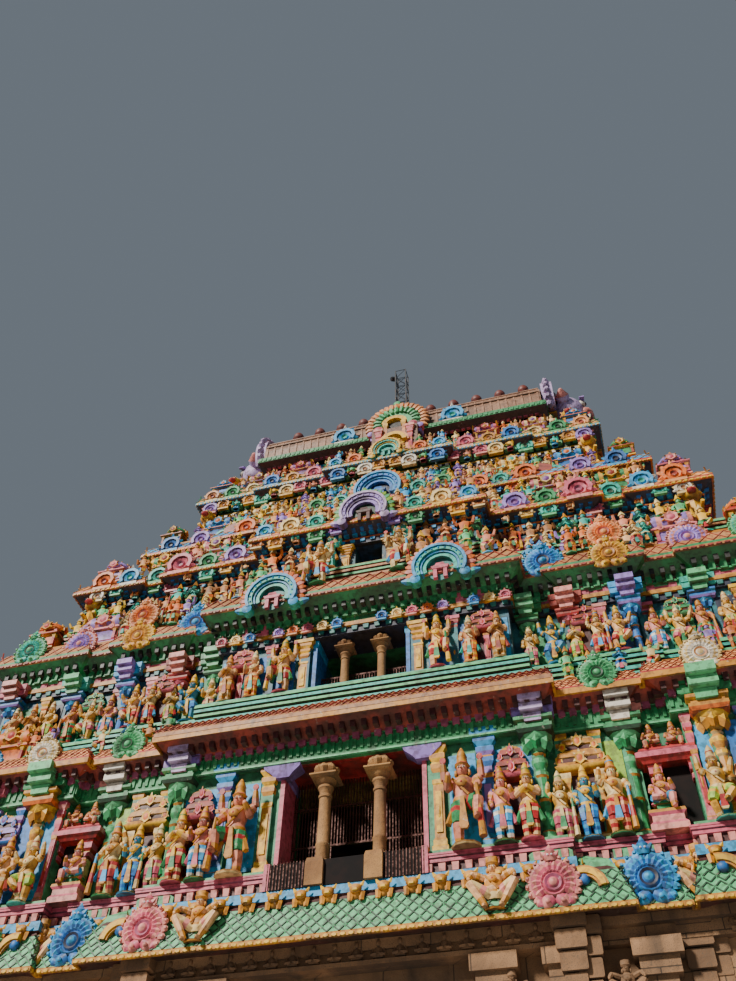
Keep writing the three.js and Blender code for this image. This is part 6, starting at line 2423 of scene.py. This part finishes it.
def makeDormer():
    # the doorway of the neck under a fanned arch, modelled at the front
    centre = (0, 0, 32.0)
    parts = [
        arch((0.7, 0.98), (-2.0, -1.2), (-24, 204), 22, centre, "hair"),
        arch((0.4, 0.68), (-2.06, -1.2), (-22, 202), 20, centre, "trim"),
        # painted shade: the hole of the doorway and the blocks inside it take the dark colour, which is black
        loft([(0, 0.5, "dark"), (0.5, 0.5, "dark")], 18, (0, -1.5, 32.0), (0, -1, 0)),
        ball((0, -2.1, 32.12), 0.16, (1, 0.7, 1.1), "cloth", 9, 6),
        slab(30.5, 31.62, 0.24, 0.1, "dark", (0, -2.26, 0)),
        arch((0.3, 0.5), (-2.5, -2.1), (0, 180), 16, (0, 0, 31.5), "gold", 0.8),
        slab(30.45, 31.6, 0.95, 0.4, "dark", (0, -1.85, 0)),
    ]
    for radius, rays, depth, thick in ((0.95, 21, -2.0, 0.11), (0.62, 15, -2.1, 0.08)):
        role = "main" if radius > 0.7 else "trim"
        for way in fan(rays, -20, 220):
            parts.append(loft([(radius, thick * 0.8, role), (radius + 0.2, thick * 1.3, role),
                               (radius + 0.36, thick * 0.3, role)], 6, (0, depth, 32.0), way))
    for side in (-1, 1):
        parts += [
            loft([(0, 0.2, "white"), (0.26, 0.2, "white"), (0.32, 0.12, "accent")], 12,
                 (side * 0.68, -2.1, 31.36), (0, -1, 0)),
            loft([(0, 0.14, "accent"), (0.26, 0.14, "accent"), (0.3, 0.07, "white")], 10,
                 (side * 0.98, -2.1, 31.2), (0, -1, 0)),
            stackUp([(30.9, 0.22, 0.16, "accent"), (31.16, 0.26, 0.2, "white"), (31.22, 0.26, 0.2, "white")],
                    (side * 0.78, -2.1, 0)),
            stackUp([(30.5, 0.08, 0.08, "gold"), (30.6, 0.06, 0.06, "main"), (31.3, 0.06, 0.06, "main"),
                     (31.36, 0.1, 0.1, "gold"), (31.5, 0.1, 0.1, "gold")], (side * 0.36, -2.4, 0)),
            stackUp([(29.3, 0.06, 0.06, "gold"), (30.2, 0.06, 0.06, "main")], (side * 0.5, -2.45, 0)),
        ]
    crest = [(33.05, 0.14, "hair"), (33.2, 0.22, "trim"), (33.32, 0.14, "hair"), (33.45, 0.18, "trim"),
             (33.62, 0.04, "hair")]
    parts.append(loft(crest, 8, (0, -1.9, 0), squash=(1, 0.7, 1)))
    parts.append(arch((0.34, 0.5), (-2.66, -2.3), (0, 180), 14, (0, 0, 30.18), "gold"))
    parts.append(arch((0.5, 0.6), (-2.6, -2.3), (0, 180), 14, (0, 0, 30.18), "main"))
    return smooth(joined(parts, "dormer"), 45)


# the dark role is black, painted shade inside the doorway
dormerColours = {"main": "peach", "trim": "mint", "gold": "yellow", "cloth": "brickRed", "white": "lilac",
                 "stripe": "palePink", "accent": "pink", "dark": "black", "hair": "mint"}
dormer = makeDormer()
dormerDrop = Matrix.Translation((0, 0, -0.4))
for face, name in ((0, "front"), (2, "back")):
    end = paintIn(copyOf(dormer, turned(face) @ dormerDrop), dormerColours)
    finishPiece([end], "dormer_" + name + "_fan", "peach_plaster", "dormer_" + name)
putAway([dormer])


def makePots():
    strip = stackUp(ofRole("main", (roof["ridge"] - 0.02, 5.55, 0.23), (roof["ridge"] + 0.06, 5.55, 0.23),
                           (roof["ridge"] + 0.09, 5.5, 0.17), (roof["stripTop"], 5.5, 0.2)))
    h = roof["potHeight"]
    box = stackUp(ofRole("main", (0, 0.17, 0.17), (0.1, 0.17, 0.17), (0.12, 0.13, 0.13)))
    pot = loft(ofRole("main", (0.1, 0.15), (0.2, 0.12), (0.28, 0.2), (0.45, 0.22), (0.58, 0.15), (0.7, 0.1),
                      (0.9, 0.11), (1.02, 0.16), (1.1, 0.24), (1.16, 0.26), (1.2, 0.22), (1.36, 0.23),
                      (1.48, 0.17), (1.55, 0.07), (h, 0.01)), 14)
    pot = smooth(joined([box, pot], "pot"), 40)
    parts = [strip]
    for i in range(roof["pots"]):
        x = (i - (roof["pots"] - 1) / 2) * roof["potPitch"]
        parts.append(copyOf(pot, Matrix.Translation((x, 0, roof["stripTop"]))))
    putAway([pot])
    return asOneFinish(joined(parts, "pots"), potClay)


mast = {"x": -0.12, "y": -0.62, "half": 0.23, "bar": 0.022, "foot": 32.9, "top": 37.04, "bays": 7}


def makeMast():
    corners = [(-1, -1), (1, -1), (1, 1), (-1, 1)]
    x, y, half, bar = mast["x"], mast["y"], mast["half"], mast["bar"]
    parts = []
    bay = (mast["top"] - mast["foot"]) / mast["bays"]
    for i, (cornerX, cornerY) in enumerate(corners):
        here = (x + cornerX * half, y + cornerY * half)
        parts.append(slab(mast["foot"], mast["top"], bar, bar, at=(*here, 0)))
        nextX, nextY = corners[(i + 1) % 4]
        there = (x + nextX * half, y + nextY * half)
        for level in range(mast["bays"]):
            low = mast["foot"] + bay * level
            ends = [(low, low + bay), (low + bay, low)] if level % 2 else [(low, low + bay)]
            for start, end in ends:
                parts.append(limb((*here, start), (*there, end), (0.012, 0.012), ["main"], 4, 0))
            parts.append(limb((*here, low + bay - 0.02), (*there, low + bay - 0.02), (0.014, 0.014),
                              ["main"], 4, 0))
    parts.append(loft(ofRole("main", (0, 0.05), (0.08, 0.11), (0.22, 0.11), (0.26, 0.09)), 14,
                      (x - half - 0.02, y, mast["top"] - 0.3), (-0.75, -0.5, -0.3)))
    return asOneFinish(smooth(joined(parts, "mastBars"), 35), steelPaint)


finishPiece(makeRoofRibs(), "roof_tile_ribs", "roof_plaster")
finishPiece(makeEaveTrim(), "roof_eave_trim", "green_plaster")
finishPiece([makePots()], "ridge_pots", "finial_clay", "ridge_finials")
finishPiece([makeMast()], "lattice_mast", "dark_steel", "mast")


def makeNeckCarving():
    neck = storeys[-1]
    parts = []
    foot = neck["floor"] + 0.02
    for x, colour in ((0.62, "pink"), (1.5, "green"), (2.4, "pink"), (3.3, "blue"), (4.3, "gold"),
                      (5.1, "red")):
        parts += onFronts(pilaster, x, wallFace(neck, x) + 0.02, foot, sized(0.9, 0.8, 2.1),
                          postLooks[colour])
    for number, x in enumerate((1.2, 1.95, 2.85, 3.75, 4.7)):
        pose = ("standing", "praying", "dancing", "mace", "standing")[number]
        parts += onFronts(smallFigures[pose], x, wallFace(neck, x) + 0.25, foot, sized(1.45),
                          upperColours(number), 0.2)
    for number, along in enumerate((0.35, 1.1)):
        look = figureColours(number + 4)
        parts += onSides(smallFigures["standing"], along, 5.5, foot, sized(1.4), look, 0.1)
    return parts


finishPiece(makeNeckCarving(), "neck_carving", "shrine_plaster")


# the side doorways of the first storey: framed, with a pair over the lintel and one seated beside the gap
doorway = {"x": 6.66, "gap": (6.5, 7.08), "lintel": 12.78, "wide": 0.62}


def makeDoorways():
    storey = storeys[0]
    foot = storey["floor"] - 0.1
    face = wallFace(storey, doorway["x"])
    lintel = doorway["lintel"]
    wide = doorway["wide"]
    left, right = doorway["gap"]
    head = stackUp([(lintel - 0.06, wide * 0.8, 0.16, "dark"), (lintel, wide * 0.86, 0.2, "main"),
                    (lintel + 0.05, wide, 0.26, "main"), (lintel + 0.16, wide, 0.26, "trim"),
                    (lintel + 0.2, wide * 0.9, 0.22, "trim")])
    # painted shade: a flat dark sheet stands in each doorway and reaches over the wall beside the cut
    gap = slab(foot, lintel, (right - left) / 2, 0.03, "dark")
    jamb = stackUp([(foot, 0.09, 0.1, "main"), (foot + 0.2, 0.09, 0.1, "trim"),
                    (foot + 0.24, 0.07, 0.08, "gold"),
                    (lintel - 0.5, 0.07, 0.08, "gold"), (lintel - 0.46, 0.12, 0.14, "main"),
                    (lintel - 0.36, 0.12, 0.14, "trim"), (lintel - 0.32, 0.08, 0.1, "gold"),
                    (lintel - 0.26, 0.13, 0.15, "main"), (lintel - 0.12, 0.13, 0.15, "trim"),
                    (lintel - 0.06, 0.16, 0.18, "main")])
    seat = stackUp([(foot, 0.36, 0.2, "main"), (foot + 0.12, 0.36, 0.2, "trim"),
                    (foot + 0.18, 0.3, 0.17, "main"),
                    (foot + 0.3, 0.3, 0.17, "trim"), (foot + 0.36, 0.36, 0.2, "main"),
                    (foot + 0.42, 0.34, 0.2, "gold")])
    colours = {"main": "red", "trim": "pink", "gold": "cream", "dark": "maroon"}
    shade = onFronts(gap, (left + right) / 2, face + 0.01, 0, sized(1), {})
    shade = asOneFinish(joined(shade, "shade"), gapShade)
    parts = onFronts(head, doorway["x"], face + 0.12, 0, sized(1), colours)
    for x in (left - 0.12, right + 0.1):
        parts += onFronts(jamb, x, face + 0.08, 0, sized(1), colours)
    parts += onFronts(seat, left - 0.1, face + 0.42, 0, sized(1),
                      {"main": "pink", "trim": "palePink", "gold": "gold"})
    parts += onFronts(figures["seated"], left - 0.1, face + 0.42, foot + 0.4, sized(1.35), figureColours(9))
    parts += onFronts(pair, doorway["x"], face + 0.16, lintel + 0.18, sized(1.05, 1.0, 0.85),
                      {**figureColours(0), "main": "red", "trim": "pink"})
    putAway([head, gap, jamb, seat])
    return parts, shade


doorFrames, doorShade = makeDoorways()
finishPiece(doorFrames, "storey_1_doorways", "figure_plaster")
finishPiece([doorShade], "storey_1_door_recesses", "shrine_plaster")


# stone base: carved frieze, niches with seated figures, squatting figures and stacks of brackets
baseStacks = {"at": (4.25, 6.4, 8.6, 11.2), "top": 9.76, "courses": 4, "course": 0.36}
baseNiches = {"at": (3.0, 5.0, 7.1, 9.8), "depth": 6.07, "foot": 7.2}
baseCornice = {"squatting": (2.98, 6.75, 8.75, 10.4), "horns": (4.85, 6.45, 7.3, 8.5)}


def makeBaseCarving():
    corners = outlineCorners(storeys[0])
    frieze = moulding("baseFrieze", corners, [
        (-0.1, 9.2, "main"), (0.07, 9.22, "main"), (0.09, 9.3, "main"), (0.02, 9.33, "main"),
        (0.02, 9.68, "main"),
        (0.1, 9.7, "main"), (0.1, 9.78, "main"), (-0.1, 9.78, "main"),
    ])
    parts = [frieze]
    parts += allRound(carved, corners, 0.06, 9.33, 0.42, lambda width: sized(0.4, 0.34, 0.34), {})
    for x in baseStacks["at"]:
        face = bayFace(storeys[0], x, cornices[0]["centre"])
        for course in range(baseStacks["courses"]):
            high = baseStacks["top"] - course * baseStacks["course"]
            low = high - baseStacks["course"] + 0.03
            half = 0.32 - course * 0.04
            deep = 0.22 - course * 0.035
            block = stackUp(ofRole("main", (low, half * 0.92, deep), (low + 0.03, half, deep),
                                   (high - 0.03, half, deep), (high, half * 0.9, deep)))
            parts += onFronts(block, x, face + deep * 0.7, 0, sized(1), {})
            block.data.transform(Matrix.Translation((0.3, 0, -0.12)))
            parts += onFronts(block, x, face + deep * 0.3, 0, sized(0.9, 0.8, 1), {})
            putAway([block])
    for x in baseNiches["at"]:
        face = bayFace(storeys[0], x, cornices[0]["centre"])
        parts += onFronts(niche, x, baseNiches["depth"], baseNiches["foot"], sized(1.6, 1, 1.3), {})
        parts += onFronts(smallFigures["seated"], x, baseNiches["depth"] + 0.08, baseNiches["foot"] + 0.2,
                          sized(0.6), {})
        parts += onFronts(figures["squatting"], x + 0.1, face + 0.02, 8.15, sized(1.0), {})
    return asOneFinish(joined(parts, "stoneCarving"), baseCarvedStone)


finishPiece([makeBaseCarving()], "stone_base_carving", "granite")


# squatting figures, curved horns and crouching beasts between the shells over the base
def makeBaseCorniceFigures():
    parts = []
    colours = {**ornamentColours, "skin": "skinCream", "cloth": "cream", "stripe": "palePink", "trim": "gold",
               "main": "gold", "hair": "gold"}
    for x in baseCornice["squatting"]:
        face = bayFace(storeys[0], x, cornices[0]["centre"])
        parts += onFronts(figures["squatting"], x, face + 0.46, 9.75, sized(1.45), colours)
    horn = makeHorn()
    for x in baseCornice["horns"]:
        face = bayFace(storeys[0], x, cornices[0]["centre"])
        parts += onFronts(horn, x, face + 0.38, 10.12, sized(0.55), scheme("gold yellow blue"))
    parts += allRound(bust, outlineCorners(storeys[0]), 0.32, 10.28, 0.56,
                      lambda width: sized(1.3, 0.6, 0.95),
                      {"main": "gold", "accent": "yellow", "white": "yellow", "dark": "brickRed"})
    putAway([horn])
    return parts


def makeHorn():
    parts = [arch((0.5, 0.85), (-0.3, 0), (10, 100), 9, (-0.4, 0, -0.3), "main"),
             arch((0.58, 0.77), (-0.36, 0), (10, 100), 9, (-0.4, 0, -0.3), "trim"),
             ball((-0.35, -0.2, 0.1), 0.2, (1, 0.8, 1), "accent", 10, 7)]
    return smooth(joined(parts, "horn"), 45)


finishPiece(makeBaseCorniceFigures(), "cornice_0_figures", "figure_plaster")


# plain pale floor and soft studio light
floorHalf = 34


def addFloor():
    bpy.ops.mesh.primitive_plane_add(size=2, location=(0, 0, 0))
    floor = bpy.context.object
    floor.name = "studioFloor"
    bpy.ops.object.mode_set(mode="EDIT")
    bpy.ops.transform.resize(value=(floorHalf, floorHalf, 1), center_override=(0, 0, 0))
    bpy.ops.object.mode_set(mode="OBJECT")
    settle(floor)
    floor.data.transform(Matrix.Translation((0, 0, -0.002)))
    material, _, shader = freshMaterial("paleFloor")
    shader.inputs["Base Color"].default_value = (0.52, 0.50, 0.47, 1)
    shader.inputs["Roughness"].default_value = 0.9
    floor.data.materials.append(material)


lighting = {
    "sky": (0.72, 0.85, 1.0),
    "skyStrength": 0.2,
    "sun": (1.0, 0.95, 0.86),
    "sunStrength": 5.9,
    "sunTurn": (53, 0, -32),
    "sunSoftness": 7,
}


def addLight():
    world = bpy.data.worlds.new("paleSky")
    bpy.context.scene.world = world
    world.use_nodes = True
    background = world.node_tree.nodes["Background"]
    background.inputs["Color"].default_value = (*lighting["sky"], 1)
    background.inputs["Strength"].default_value = lighting["skyStrength"]
    data = bpy.data.lights.new("softSun", "SUN")
    data.energy = lighting["sunStrength"]
    data.color = lighting["sun"]
    data.angle = math.radians(lighting["sunSoftness"])
    sun = bpy.data.objects.new("softSun", data)
    sun.rotation_euler = [math.radians(part) for part in lighting["sunTurn"]]
    bpy.context.collection.objects.link(sun)


addFloor()
addLight()
putAway(patterns)
print("patterns removed, scene ready")
